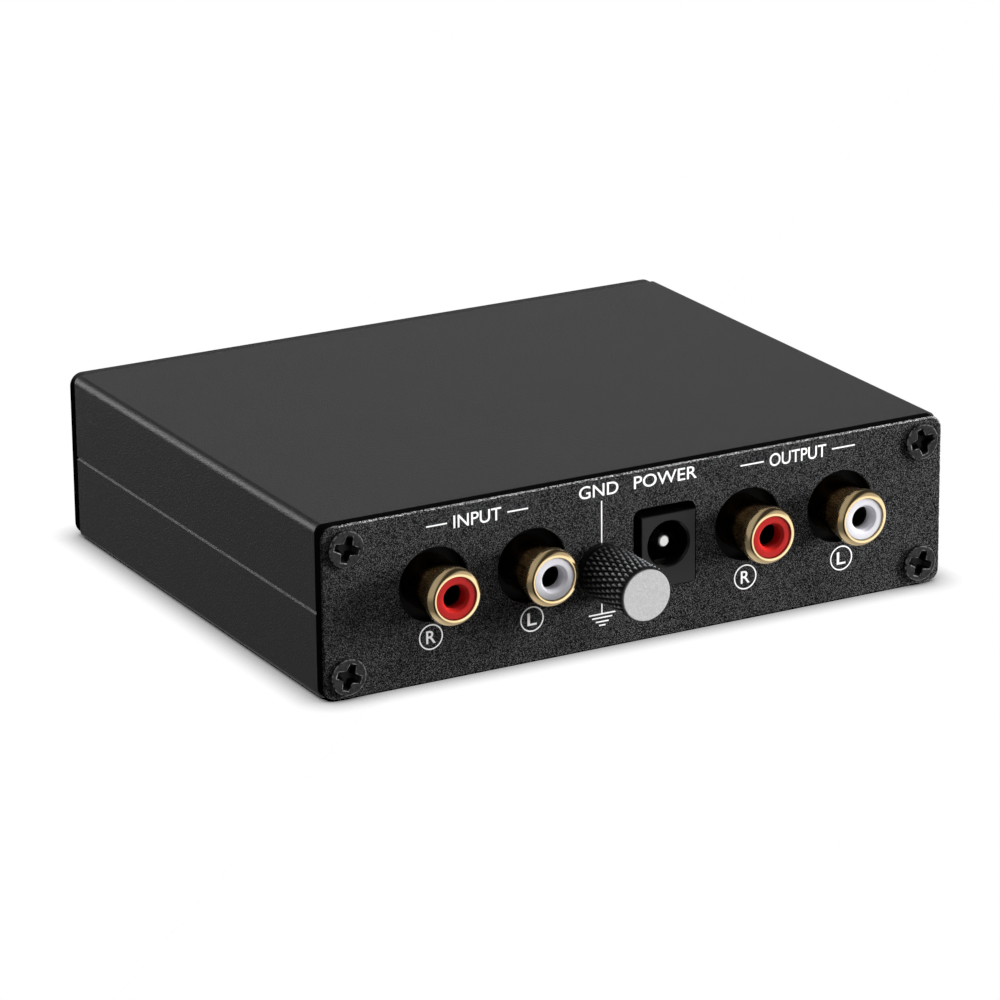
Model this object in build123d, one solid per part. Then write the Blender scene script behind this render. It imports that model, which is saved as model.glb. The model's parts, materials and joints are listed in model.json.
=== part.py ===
"""Phono preamplifier: a split extruded case with a jack panel, a control panel and a circuit board.

Millimetres. +Z is up. The jack panel faces -Y and the control panel faces +Y. The origin is the centre
of the case's underside. Depths called "deep" are measured inwards from the outer face of a panel.
"""
import os
from math import cos, radians, sin, sqrt

from build123d import *

# ---- Case: two extruded half shells between two flat end panels
CASE_WIDTH = 102.0
CASE_HEIGHT = 25.7
SHELL_LENGTH = 80.0
WALL = 1.5
SHELL_CORNER_RADIUS = 1.2
SEAM_HEIGHT = 12.8
SEAM_CHAMFER = 0.25
PANEL_THICKNESS = 2.0
PANEL_CORNER_RADIUS = 2.0
PANEL_EDGE_ROUND = 0.35
PANEL_BACK_CHAMFER = 0.25
TONGUE_THICKNESS = 0.8
TONGUE_HEIGHT = 1.5
TONGUE_CLEARANCE = 0.1

# ---- Panel screws: countersunk cross-recess screws into round bosses in the shells
SCREW_RADIUS = 1.5
SCREW_LENGTH = 9.7
SCREW_HEAD_RADIUS = 2.7
SCREW_HEAD_RIM = 0.4
SCREW_HEAD_PROUD = 0.65
SCREW_FROM_SIDE = 3.7
SCREW_FROM_EDGE = 3.45
SCREW_HOLE_CLEARANCE = 0.15
SCREW_HEAD_CLEARANCE = 0.05
THREAD_CLEARANCE = 0.03
BOSS_WALL = 0.9
RECESS_WIDTH = 4.0
RECESS_SLOT = 1.0
RECESS_DEPTH = 1.3
REAR_SCREW_TURNS = (20.0, 20.0, 17.0, -15.0)
FRONT_SCREW_TURNS = (5.0, -20.0, 33.0, 12.0)

# ---- Circuit board, held in grooves along the lower shell's walls
BOARD_THICKNESS = 1.6
BOARD_ABOVE_FLOOR = 4.85
BOARD_SIDE_CLEARANCE = 0.3
BOARD_END_CLEARANCE = 0.3
GROOVE_CLEARANCE = 0.1
RIB_THICKNESS = 1.2
RIB_DEPTH = 1.6
LEAD_HOLE_CLEARANCE = 0.15
LEAD_STICKOUT = 0.9

# ---- Phono jacks
JACK_PAIR_CENTRE_X = 25.65
JACK_PAIR_PITCH = 15.65
JACK_AXIS_ABOVE_BOARD = 6.5
JACK_RIM_RADIUS = 4.25
JACK_RIM_LENGTH = 1.9
JACK_RIM_FRONT_ROUND = 0.85
JACK_RIM_BACK_ROUND = 0.3
JACK_BARREL_RADIUS = 4.0
JACK_PROTRUSION = 6.7
JACK_HOLE_MARGIN = 1.25
JACK_HOLE_CHAMFER = 0.15
INSERT_RADIUS = 3.1
INSERT_RECESS = 0.2
INSERT_MOUTH_RADIUS = 2.05
INSERT_MOUTH_DEPTH = 0.5
INSERT_BORE_RADIUS = 1.7
INSERT_LIP = 2.0
CONTACT_BORE_RADIUS = 1.6
CONTACT_WALL = 0.35
CONTACT_LENGTH = 16.0
CONTACT_END = 0.6
JACK_HOUSING_WIDTH = 10.4
JACK_HOUSING_LENGTH = 12.0
JACK_HOUSING_ABOVE_AXIS = 5.2
JACK_HOUSING_BACK_WALL = 4.0
BARREL_SEAT_DEPTH = 3.0
JACK_FIT = 0.05
PANEL_GAP = 0.3
TAB_WIDTH = 1.2
TAB_THICKNESS = 0.5
TAB_CLEARANCE = 0.15

# ---- Power inlet: a barrel jack
INLET_X = 4.3
INLET_WIDTH = 9.0
INLET_HEIGHT = 10.6
INLET_SKIRT = 0.4
INLET_LENGTH = 14.2
INLET_PROTRUSION = 0.4
INLET_AXIS_ABOVE_BOARD = 6.05
INLET_BORE_RADIUS = 3.3
INLET_BORE_DEPTH = 9.5
INLET_MOUTH_CHAMFER = 0.3
INLET_PIN_RADIUS = 1.0
INLET_PIN_SHANK_RADIUS = 1.5
INLET_PIN_RECESS = 1.3
INLET_PIN_TIP_ROUND = 0.4
INLET_LEFT_MARGIN = 1.1
INLET_RIGHT_MARGIN = 0.3
INLET_TOP_MARGIN = 1.3
INLET_BOTTOM_MARGIN = 0.15
INLET_CUTOUT_TOP_RADIUS = 1.5
INLET_CUTOUT_LOW_RADIUS = 0.5
INLET_FACE_CHAMFER = 0.15
INLET_SPRING_WIDTH = 2.0
INLET_SPRING_THICKNESS = 0.4
INLET_SPRING_PROUD = 0.3

# ---- Ground terminal: a flanged stud with a long thumb nut
GROUND_X = -6.5
GROUND_ABOVE_BOARD = 3.95
STUD_RADIUS = 2.0
STUD_OUTSIDE = 10.0
STUD_INSIDE = 5.6
STUD_FLANGE_RADIUS = 3.4
STUD_FLANGE_THICKNESS = 0.8
STUD_FIT = 0.05
WASHER_RADIUS = 4.0
WASHER_THICKNESS = 0.8
THUMB_NUT_RADIUS = 4.2
THUMB_NUT_LENGTH = 11.9
THUMB_NUT_END_WALL = 2.2
THUMB_NUT_CHAMFER = 0.4
HEX_NUT_FLATS = 7.0
HEX_NUT_THICKNESS = 3.2
LUG_RADIUS = 3.8
LUG_THICKNESS = 0.5
LUG_TAIL_WIDTH = 3.0
LUG_TAIL_HEIGHT = 7.4
WIRE_RADIUS = 0.6
WIRE_REACH = 7.5
WIRE_BEND_RADIUS = 3.0
WIRE_BELOW_TAIL_TOP = 1.4
NOTCH_MARGIN = 0.8

# ---- Control panel: power button, indicator and gain selector, on one height above the board
CONTROL_ABOVE_BOARD = 4.9
BUTTON_X = -34.0
BUTTON_RADIUS = 3.8
BUTTON_PROTRUSION = 4.5
BUTTON_LENGTH = 7.9
BUTTON_EDGE_ROUND = 0.5
BUTTON_HOLE_CLEARANCE = 0.25
BUTTON_TRAVEL = 2.5
PLUNGER_SIZE = 3.0
PLUNGER_SOCKET_DEPTH = 2.5
PLUNGER_FIT = 0.1
PLUNGER_IN_SWITCH = 3.5
SWITCH_WIDTH = 9.8
SWITCH_LENGTH = 9.5
SWITCH_STOP_GAP = 0.6
INDICATOR_X = -21.0
INDICATOR_RADIUS = 1.5
INDICATOR_PROTRUSION = 1.3
INDICATOR_FLANGE_RADIUS = 1.9
INDICATOR_FLANGE = 1.0
INDICATOR_FIT = 0.1
INDICATOR_LEAD = 0.5
INDICATOR_LEAD_PITCH = 2.54
INDICATOR_LEAD_REACH = 4.5
SELECTOR_X = 30.0
SELECTOR_TRAVEL = 4.0
LEVER_WIDTH = 3.0
LEVER_HEIGHT = 2.4
LEVER_PROTRUSION = 4.0
LEVER_EDGE_ROUND = 0.4
LEVER_CLEARANCE = 0.3
SLIDER_WIDTH = 5.2
SLIDER_HEIGHT = 3.4
SLIDER_DEPTH = 3.2
SLIDER_CLEARANCE = 0.2
SELECTOR_BODY_WIDTH = 13.0
SELECTOR_BODY_DEPTH = 6.5
SELECTOR_BODY_HEIGHT = 9.4
SELECTOR_FRAME = 0.5
SELECTOR_BEHIND_PANEL = 3.0

# ---- Board parts: radii, heights and lead pitches of the usual sizes
LEAD_RADIUS = 0.3
AXIAL_STANDOFF = 0.3
RESISTOR_RADIUS = 1.15
RESISTOR_LENGTH = 6.3
RESISTOR_PITCH = 10.16
DIODE_RADIUS = 1.35
DIODE_LENGTH = 5.0
DIODE_PITCH = 10.16
RESERVOIR_RADIUS = 5.0
RESERVOIR_HEIGHT = 12.5
RESERVOIR_PITCH = 5.0
SMALL_CAN_RADIUS = 2.5
COUPLING_HEIGHT = 11.0
DECOUPLING_HEIGHT = 7.0
SMALL_CAN_PITCH = 2.0
CAN_EDGE_ROUND = 0.4
FILM_LENGTH = 7.2
FILM_WIDTH = 3.0
FILM_HEIGHT = 7.5
FILM_PITCH = 5.0
FILM_EDGE_ROUND = 0.3
REGULATOR_RADIUS = 2.3
REGULATOR_HEIGHT = 4.6
REGULATOR_STANDOFF = 2.5
REGULATOR_FLAT = 1.2
REGULATOR_PITCH = 1.27
SOCKET_LENGTH = 10.2
SOCKET_WIDTH = 10.1
SOCKET_HEIGHT = 3.0
SOCKET_WINDOW = 4.6
CHIP_LENGTH = 9.8
CHIP_WIDTH = 6.4
CHIP_HEIGHT = 3.3
CHIP_STANDOFF = 0.6
CHIP_ROW_PITCH = 7.62
CHIP_LEG_PITCH = 2.54
CHIP_LEGS_PER_ROW = 4
CHIP_LEG_WIDTH = 0.5
CHIP_LEG_THICKNESS = 0.3
CHIP_LEG_IN_SOCKET = 2.0

# ---- Worked-out places
REAR_FACE = -(SHELL_LENGTH / 2 + PANEL_THICKNESS)
FRONT_FACE = SHELL_LENGTH / 2 + PANEL_THICKNESS
REAR_INSIDE = REAR_FACE + PANEL_THICKNESS
FRONT_INSIDE = FRONT_FACE - PANEL_THICKNESS
INNER_HALF_WIDTH = CASE_WIDTH / 2 - WALL
BOARD_BOTTOM = WALL + BOARD_ABOVE_FLOOR
BOARD_TOP = BOARD_BOTTOM + BOARD_THICKNESS
LEAD_TIP = BOARD_BOTTOM - LEAD_STICKOUT
JACK_Z = BOARD_TOP + JACK_AXIS_ABOVE_BOARD
INLET_Z = BOARD_TOP + INLET_AXIS_ABOVE_BOARD
GROUND_Z = BOARD_TOP + GROUND_ABOVE_BOARD
CONTROL_Z = BOARD_TOP + CONTROL_ABOVE_BOARD
SCREW_X = CASE_WIDTH / 2 - SCREW_FROM_SIDE
BOSS_RADIUS = SCREW_RADIUS + BOSS_WALL
JACKS = {
    "input_right": -(JACK_PAIR_CENTRE_X + JACK_PAIR_PITCH / 2),
    "input_left": -(JACK_PAIR_CENTRE_X - JACK_PAIR_PITCH / 2),
    "output_right": JACK_PAIR_CENTRE_X - JACK_PAIR_PITCH / 2,
    "output_left": JACK_PAIR_CENTRE_X + JACK_PAIR_PITCH / 2,
}


# ---- Basic shapes
def block(x, y, z):
    """A box between two limits on each axis."""
    size = Box(x[1] - x[0], y[1] - y[0], z[1] - z[0])
    return Pos((x[0] + x[1]) / 2, (y[0] + y[1]) / 2, (z[0] + z[1]) / 2) * size


def around(centre, width):
    """The two limits of a width centred on a place."""
    return centre - width / 2, centre + width / 2


def rod(radius, x, z, y):
    """A round bar along Y between two limits."""
    bar = Cylinder(radius, y[1] - y[0], align=(Align.CENTER, Align.CENTER, Align.MIN))
    return Pos(x, y[0], z) * Rot(-90, 0, 0) * bar


def post(radius, x, y, z):
    """A round bar along Z between two limits."""
    bar = Cylinder(radius, z[1] - z[0], align=(Align.CENTER, Align.CENTER, Align.MIN))
    return Pos(x, y, z[0]) * bar


def turned(points, x, z):
    """A turned piece about an axis along Y, from its half outline as (radius, y) points."""
    outline = make_face(Polyline(*points, close=True))
    return Pos(x, 0, z) * revolve(outline, Axis.Y)


def outline_plate(radius, y):
    """A plate with the case's outline and rounded corners, between two limits on Y."""
    face = Pos(0, CASE_HEIGHT / 2) * RectangleRounded(CASE_WIDTH, CASE_HEIGHT, radius)
    plate = extrude(face, y[1] - y[0])
    return Pos(0, y[1], 0) * Rot(90, 0, 0) * plate


def edges_at(shape, y):
    """The edges of a shape that lie wholly at one Y."""
    reaches = [(edge, edge.bounding_box()) for edge in shape.edges()]
    return [edge for edge, box in reaches if abs(box.min.Y - y) + abs(box.max.Y - y) < 1e-4]


# ---- Shells
def boss(x, z, wall_x, wall_z):
    """A round screw boss with webs to the side wall and to the floor or roof, along the whole shell."""
    length = (REAR_INSIDE, FRONT_INSIDE)
    side_web = block(sorted((x, wall_x)), length, around(z, 2 * BOSS_RADIUS))
    edge_web = block(around(x, 2 * BOSS_RADIUS), length, sorted((z, wall_z)))
    return rod(BOSS_RADIUS, x, z, length) + side_web + edge_web


def half_shell(low, high, boss_z, wall_z):
    """One half of the case between two heights, with its pair of screw bosses, before the bores."""
    length = (REAR_INSIDE, FRONT_INSIDE)
    outside = outline_plate(SHELL_CORNER_RADIUS, length)
    half = outside & block((-CASE_WIDTH, CASE_WIDTH), length, (low, high))
    inside = block((-INNER_HALF_WIDTH, INNER_HALF_WIDTH), length, (WALL, CASE_HEIGHT - WALL))
    half -= inside
    for side in (-1, 1):
        half += boss(side * SCREW_X, boss_z, side * (CASE_WIDTH / 2 - WALL / 2), wall_z) & outside
    return half


def bored(shell, boss_z):
    """The shell with its two bosses bored for the panel screws."""
    for side in (-1, 1):
        bore = rod(SCREW_RADIUS + THREAD_CLEARANCE, side * SCREW_X, boss_z, (REAR_INSIDE, FRONT_INSIDE))
        shell -= bore
    return shell


def seam_edges(shell):
    """The two outer edges of a half shell that run along the seam."""
    edges = shell.edges().filter_by(Axis.Y)
    at_seam = [e for e in edges if abs(e.center().Z - SEAM_HEIGHT) < 1e-4]
    return [e for e in at_seam if abs(abs(e.center().X) - CASE_WIDTH / 2) < 1e-4]


def lower_shell():
    """The lower half, with the board's grooves and a tongue that laps inside the upper half."""
    length = (REAR_INSIDE, FRONT_INSIDE)
    shell = half_shell(0, SEAM_HEIGHT, SCREW_FROM_EDGE, WALL / 2)
    for side in (-1, 1):
        wall = side * (INNER_HALF_WIDTH + WALL / 2)
        rib = sorted((side * (INNER_HALF_WIDTH - RIB_DEPTH), wall))
        shell += block(rib, length, (BOARD_BOTTOM - RIB_THICKNESS, BOARD_BOTTOM))
        over_board = BOARD_TOP + GROOVE_CLEARANCE
        shell += block(rib, length, (over_board, over_board + RIB_THICKNESS))
        lap = INNER_HALF_WIDTH - TONGUE_CLEARANCE
        tongue = sorted((side * (lap - TONGUE_THICKNESS), side * lap))
        shell += block(tongue, length, (SEAM_HEIGHT - TONGUE_HEIGHT, SEAM_HEIGHT + TONGUE_HEIGHT))
        root = sorted((side * lap, wall))
        shell += block(root, length, (SEAM_HEIGHT - TONGUE_HEIGHT, SEAM_HEIGHT - TONGUE_HEIGHT / 2))
    shell = bored(shell, SCREW_FROM_EDGE)
    return chamfer(seam_edges(shell), SEAM_CHAMFER)


def upper_shell():
    """The upper half, which closes over the tongues."""
    boss_z = CASE_HEIGHT - SCREW_FROM_EDGE
    shell = half_shell(SEAM_HEIGHT, CASE_HEIGHT, boss_z, CASE_HEIGHT - WALL / 2)
    shell = bored(shell, boss_z)
    return chamfer(seam_edges(shell), SEAM_CHAMFER)


# ---- Screws
def screw_places():
    """The four screw axes of a panel: low left, low right, high left, high right."""
    heights = (SCREW_FROM_EDGE, CASE_HEIGHT - SCREW_FROM_EDGE)
    return [(side * SCREW_X, z) for z in heights for side in (-1, 1)]


def screw(x, z, turn):
    """A countersunk screw on the rear panel, its head standing a little proud of the panel's face."""
    top = REAR_FACE - SCREW_HEAD_PROUD
    cone_start = top + SCREW_HEAD_RIM
    cone_end = cone_start + SCREW_HEAD_RADIUS - SCREW_RADIUS
    tip = top + SCREW_LENGTH
    tip_chamfer = SCREW_RADIUS / 3
    body = turned(
        [
            (0, top),
            (SCREW_HEAD_RADIUS, top),
            (SCREW_HEAD_RADIUS, cone_start),
            (SCREW_RADIUS, cone_end),
            (SCREW_RADIUS, tip - tip_chamfer),
            (SCREW_RADIUS - tip_chamfer, tip),
            (0, tip),
        ],
        0,
        0,
    )
    depth = (top, top + RECESS_DEPTH)
    for width, height in ((RECESS_WIDTH, RECESS_SLOT), (RECESS_SLOT, RECESS_WIDTH)):
        body -= block(around(0, width), depth, around(0, height))
    return Pos(x, 0, z) * Rot(0, turn, 0) * body


def screw_seat(x, z):
    """The hole and countersink that a screw passes through in the rear panel."""
    cone_start = REAR_FACE - SCREW_HEAD_PROUD + SCREW_HEAD_RIM
    hole_radius = SCREW_RADIUS + SCREW_HOLE_CLEARANCE
    head_radius = SCREW_HEAD_RADIUS + SCREW_HEAD_CLEARANCE
    return turned(
        [
            (0, REAR_FACE - 1),
            (head_radius, REAR_FACE - 1),
            (head_radius, cone_start),
            (hole_radius, cone_start + head_radius - hole_radius),
            (hole_radius, REAR_INSIDE + 1),
            (0, REAR_INSIDE + 1),
        ],
        x,
        z,
    )


def at_front(shape):
    """A piece of the rear panel turned half round to the front panel."""
    return Rot(0, 0, 180) * shape


# ---- Panels
def blank_panel():
    """A plain end panel on the rear end: screw seats, a rounded outer edge, a small bevel at the shells."""
    panel = outline_plate(PANEL_CORNER_RADIUS, (REAR_FACE, REAR_INSIDE))
    panel = fillet(edges_at(panel, REAR_FACE), PANEL_EDGE_ROUND)
    panel = chamfer(edges_at(panel, REAR_INSIDE), PANEL_BACK_CHAMFER)
    for x, z in screw_places():
        panel -= screw_seat(x, z)
    return panel


def rear_panel():
    """The jack panel."""
    panel = blank_panel()
    through = (REAR_FACE - 1, REAR_INSIDE + 1)
    hole_radius = JACK_RIM_RADIUS + JACK_HOLE_MARGIN
    for x in JACKS.values():
        panel -= turned(
            [
                (0, REAR_FACE - JACK_HOLE_CHAMFER),
                (hole_radius + 2 * JACK_HOLE_CHAMFER, REAR_FACE - JACK_HOLE_CHAMFER),
                (hole_radius, REAR_FACE + JACK_HOLE_CHAMFER),
                (hole_radius, REAR_INSIDE + 1),
                (0, REAR_INSIDE + 1),
            ],
            x,
            JACK_Z,
        )
    left, right = around(INLET_X, INLET_WIDTH)
    low = BOARD_TOP - INLET_SKIRT - INLET_BOTTOM_MARGIN
    high = BOARD_TOP + INLET_HEIGHT + INLET_TOP_MARGIN
    opening = block((left - INLET_LEFT_MARGIN, right + INLET_RIGHT_MARGIN), through, (low, high))
    opening = fillet(opening.edges().filter_by(Axis.Y).group_by(Axis.Z)[-1], INLET_CUTOUT_TOP_RADIUS)
    opening = fillet(opening.edges().filter_by(Axis.Y).group_by(Axis.Z)[0], INLET_CUTOUT_LOW_RADIUS)
    panel -= opening
    panel -= rod(STUD_RADIUS + STUD_FIT, GROUND_X, GROUND_Z, through)
    flange = (REAR_FACE - 1, REAR_FACE + STUD_FLANGE_THICKNESS)
    panel -= rod(STUD_FLANGE_RADIUS + STUD_FIT, GROUND_X, GROUND_Z, flange)
    return panel


def front_panel():
    """The control panel."""
    panel = at_front(blank_panel())
    through = (FRONT_INSIDE - 1, FRONT_FACE + 1)
    panel -= rod(BUTTON_RADIUS + BUTTON_HOLE_CLEARANCE, BUTTON_X, CONTROL_Z, through)
    panel -= rod(INDICATOR_RADIUS + INDICATOR_FIT, INDICATOR_X, CONTROL_Z, through)
    panel -= lever_slot(through)
    return panel


# ---- Phono jacks
def jack_shell(x):
    """The outer contact: a thin barrel with a rounded rim, and a tab down through the board."""
    face = REAR_FACE - JACK_PROTRUSION
    back = REAR_INSIDE + PANEL_GAP + BARREL_SEAT_DEPTH
    inner = INSERT_RADIUS + JACK_FIT
    rim_end = face + JACK_RIM_LENGTH
    outline = make_face(
        Polyline(
            (inner, face),
            (JACK_RIM_RADIUS, face),
            (JACK_RIM_RADIUS, rim_end),
            (JACK_BARREL_RADIUS, rim_end),
            (JACK_BARREL_RADIUS, back),
            (inner, back),
            close=True,
        )
    )
    rim_corners = {face: JACK_RIM_FRONT_ROUND, rim_end: JACK_RIM_BACK_ROUND}
    for y, radius in rim_corners.items():
        corner = [v for v in outline.vertices() if abs(v.X - JACK_RIM_RADIUS) + abs(v.Y - y) < 1e-6]
        radius = min(radius, 0.9 * (JACK_RIM_RADIUS - (inner if y == face else JACK_BARREL_RADIUS)))
        outline = fillet(corner, radius)
    barrel = Pos(x, 0, JACK_Z) * revolve(outline, Axis.Y)
    tab = block(around(x, TAB_WIDTH), shell_tab_depth(), (LEAD_TIP, JACK_Z - inner - 0.2))
    return barrel + tab


def shell_tab_depth():
    """The Y limits of the tab under a jack's outer contact."""
    return around(REAR_INSIDE + PANEL_GAP + BARREL_SEAT_DEPTH - TAB_THICKNESS, TAB_THICKNESS)


def contact_limits():
    """The Y limits of a jack's centre contact, from its mouth to its closed end."""
    mouth = REAR_FACE - JACK_PROTRUSION + INSERT_RECESS + INSERT_LIP
    return mouth, mouth + CONTACT_LENGTH


def jack_insert(x):
    """The coloured insulator, with a funnel mouth and a seat for the centre contact."""
    face = REAR_FACE - JACK_PROTRUSION + INSERT_RECESS
    mouth = contact_limits()[0]
    seat = CONTACT_BORE_RADIUS + CONTACT_WALL + JACK_FIT
    back = REAR_INSIDE + PANEL_GAP + JACK_HOUSING_LENGTH - JACK_HOUSING_BACK_WALL
    return turned(
        [
            (INSERT_MOUTH_RADIUS, face),
            (INSERT_RADIUS, face),
            (INSERT_RADIUS, back),
            (seat, back),
            (seat, mouth),
            (INSERT_BORE_RADIUS, mouth),
            (INSERT_BORE_RADIUS, face + INSERT_MOUTH_DEPTH),
        ],
        x,
        JACK_Z,
    )


def jack_contact(x):
    """The centre contact: a tube closed at the back, with a tail down through the board."""
    mouth, end = contact_limits()
    outer = CONTACT_BORE_RADIUS + CONTACT_WALL
    tube = turned(
        [
            (CONTACT_BORE_RADIUS, mouth),
            (outer, mouth),
            (outer, end),
            (0, end),
            (0, end - CONTACT_END),
            (CONTACT_BORE_RADIUS, end - CONTACT_END),
        ],
        x,
        JACK_Z,
    )
    tail = block(around(x, TAB_WIDTH), (end - TAB_THICKNESS, end), (LEAD_TIP, JACK_Z))
    return tube + tail


def jack_housing(x):
    """The moulded housing on the board that holds the other three pieces of a jack."""
    front = REAR_INSIDE + PANEL_GAP
    back = front + JACK_HOUSING_LENGTH
    end = contact_limits()[1]
    top = JACK_Z + JACK_HOUSING_ABOVE_AXIS
    body = block(around(x, JACK_HOUSING_WIDTH), (front, back), (BOARD_TOP, top))
    body -= rod(JACK_BARREL_RADIUS + JACK_FIT, x, JACK_Z, (front, front + BARREL_SEAT_DEPTH))
    body -= rod(INSERT_RADIUS + JACK_FIT, x, JACK_Z, (front, back - JACK_HOUSING_BACK_WALL))
    body -= rod(CONTACT_BORE_RADIUS + CONTACT_WALL + JACK_FIT, x, JACK_Z, (front, back))
    slot = TAB_WIDTH + 2 * TAB_CLEARANCE
    tab = shell_tab_depth()
    tab_pocket = (tab[0] - TAB_CLEARANCE, tab[1] + TAB_CLEARANCE)
    body -= block(around(x, slot), tab_pocket, (BOARD_TOP, JACK_Z))
    body -= block(around(x, slot), (end - TAB_THICKNESS - TAB_CLEARANCE, back), (BOARD_TOP, JACK_Z))
    return body


# ---- Power inlet
def inlet_depths():
    """The Y of the inlet's face and of its back."""
    face = REAR_FACE - INLET_PROTRUSION
    return face, face + INLET_LENGTH


def spring_limits():
    """The Y limits of the inlet's leaf contact, whose tail is at the inner end."""
    face = inlet_depths()[0]
    return face + INLET_BORE_DEPTH / 4, face + INLET_BORE_DEPTH + 2.0


def inlet_housing():
    """The inlet's moulded body: a deep round socket, a seat for the pin and a slot for the leaf.

    In front of the board a low skirt hangs below the board's top."""
    face, back = inlet_depths()
    wide = around(INLET_X, INLET_WIDTH)
    body = block(wide, (face, back), (BOARD_TOP, BOARD_TOP + INLET_HEIGHT))
    body += block(wide, (face, REAR_INSIDE), (BOARD_TOP - INLET_SKIRT, BOARD_TOP))
    body = chamfer(edges_at(body, face), INLET_FACE_CHAMFER)
    mouth = INLET_BORE_RADIUS + INLET_MOUTH_CHAMFER
    body -= turned(
        [
            (0, face),
            (mouth, face),
            (INLET_BORE_RADIUS, face + INLET_MOUTH_CHAMFER),
            (INLET_BORE_RADIUS, face + INLET_BORE_DEPTH),
            (0, face + INLET_BORE_DEPTH),
        ],
        INLET_X,
        INLET_Z,
    )
    body -= rod(INLET_PIN_SHANK_RADIUS + JACK_FIT, INLET_X, INLET_Z, (face, back))
    slot = 2 * INLET_PIN_RADIUS + 2 * TAB_CLEARANCE
    tail = (back - TAB_THICKNESS - TAB_CLEARANCE, back)
    body -= block(around(INLET_X, slot), tail, (BOARD_TOP, INLET_Z))
    start, end = spring_limits()
    leaf_wide = INLET_SPRING_WIDTH + 2 * TAB_CLEARANCE
    low = INLET_Z - INLET_BORE_RADIUS - INLET_SPRING_THICKNESS
    high = INLET_Z - INLET_BORE_RADIUS + INLET_SPRING_PROUD + TAB_CLEARANCE
    slot_end = end + TAB_CLEARANCE
    body -= block(around(INLET_X, leaf_wide), (start - TAB_CLEARANCE, slot_end), (low, high))
    tail_start = end - TAB_THICKNESS - TAB_CLEARANCE
    body -= block(around(INLET_X, leaf_wide), (tail_start, slot_end), (BOARD_TOP, high))
    return body


def inlet_pin():
    """The inlet's centre pin: free in the socket, thicker behind it, with a tail down through the board."""
    face, back = inlet_depths()
    tip = face + INLET_PIN_RECESS
    shoulder = face + INLET_BORE_DEPTH
    pin = rod(INLET_PIN_RADIUS, INLET_X, INLET_Z, (tip, shoulder))
    pin = fillet(edges_at(pin, tip), INLET_PIN_TIP_ROUND)
    pin += rod(INLET_PIN_SHANK_RADIUS, INLET_X, INLET_Z, (shoulder, back))
    tail = block(around(INLET_X, 2 * INLET_PIN_RADIUS), (back - TAB_THICKNESS, back), (LEAD_TIP, INLET_Z))
    return pin + tail


def inlet_spring():
    """The inlet's leaf contact along the bottom of the socket, with a tail down through the board."""
    start, end = spring_limits()
    top = INLET_Z - INLET_BORE_RADIUS + INLET_SPRING_PROUD
    wide = around(INLET_X, INLET_SPRING_WIDTH)
    leaf = block(wide, (start, end), (top - INLET_SPRING_THICKNESS, top))
    tail = block(wide, (end - TAB_THICKNESS, end), (LEAD_TIP, top))
    return leaf + tail


# ---- Ground terminal
def ground_stud():
    """A stud whose flange lies in the panel's outer face."""
    flange = (REAR_FACE, REAR_FACE + STUD_FLANGE_THICKNESS)
    shank = (REAR_FACE - STUD_OUTSIDE, REAR_INSIDE + STUD_INSIDE)
    bar = rod(STUD_RADIUS, GROUND_X, GROUND_Z, shank)
    ends = edges_at(bar, shank[0]) + edges_at(bar, shank[1])
    bar = chamfer(ends, STUD_RADIUS / 5)
    return bar + rod(STUD_FLANGE_RADIUS, GROUND_X, GROUND_Z, flange)


def ground_washer():
    """The pressure washer that the thumb nut carries, flat on the panel at rest."""
    y = (REAR_FACE - WASHER_THICKNESS, REAR_FACE)
    return rod(WASHER_RADIUS, GROUND_X, GROUND_Z, y) - rod(STUD_RADIUS + STUD_FIT, GROUND_X, GROUND_Z, y)


def ground_thumb_nut():
    """The long blind thumb nut, in the size over its knurl."""
    seat = REAR_FACE - WASHER_THICKNESS
    end = seat - THUMB_NUT_LENGTH
    bore_end = end + THUMB_NUT_END_WALL
    bore = STUD_RADIUS + STUD_FIT
    return turned(
        [
            (0, end),
            (THUMB_NUT_RADIUS - THUMB_NUT_CHAMFER, end),
            (THUMB_NUT_RADIUS, end + THUMB_NUT_CHAMFER),
            (THUMB_NUT_RADIUS, seat - THUMB_NUT_CHAMFER),
            (THUMB_NUT_RADIUS - THUMB_NUT_CHAMFER, seat),
            (bore, seat),
            (bore, bore_end),
            (0, bore_end),
        ],
        GROUND_X,
        GROUND_Z,
    )


def ground_lug():
    """The solder lug between the panel and the inner nut, its tail standing up."""
    y = (REAR_INSIDE, REAR_INSIDE + LUG_THICKNESS)
    ring = rod(LUG_RADIUS, GROUND_X, GROUND_Z, y)
    ring += block(around(GROUND_X, LUG_TAIL_WIDTH), y, (GROUND_Z, GROUND_Z + LUG_TAIL_HEIGHT))
    return ring - rod(STUD_RADIUS + STUD_FIT, GROUND_X, GROUND_Z, y)


def ground_inner_nut():
    """The hexagon nut that holds the stud and the lug on the panel, one flat down."""
    start = REAR_INSIDE + LUG_THICKNESS
    y = (start, start + HEX_NUT_THICKNESS)
    hexagon = extrude(RegularPolygon(HEX_NUT_FLATS / 2, 6, major_radius=False), HEX_NUT_THICKNESS)
    nut = Pos(GROUND_X, y[1], GROUND_Z) * Rot(90, 0, 0) * hexagon
    return nut - rod(STUD_RADIUS + STUD_FIT, GROUND_X, GROUND_Z, y)


def ground_wire():
    """The insulated wire from the lug's tail down to the board."""
    start = REAR_INSIDE + LUG_THICKNESS
    high = GROUND_Z + LUG_TAIL_HEIGHT - WIRE_BELOW_TAIL_TOP
    route = FilletPolyline(
        (GROUND_X, start, high),
        (GROUND_X, start + WIRE_REACH, high),
        (GROUND_X, start + WIRE_REACH, BOARD_TOP),
        radius=WIRE_BEND_RADIUS,
    )
    return sweep(Plane(origin=route @ 0, z_dir=route % 0) * Circle(WIRE_RADIUS), path=route)


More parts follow.
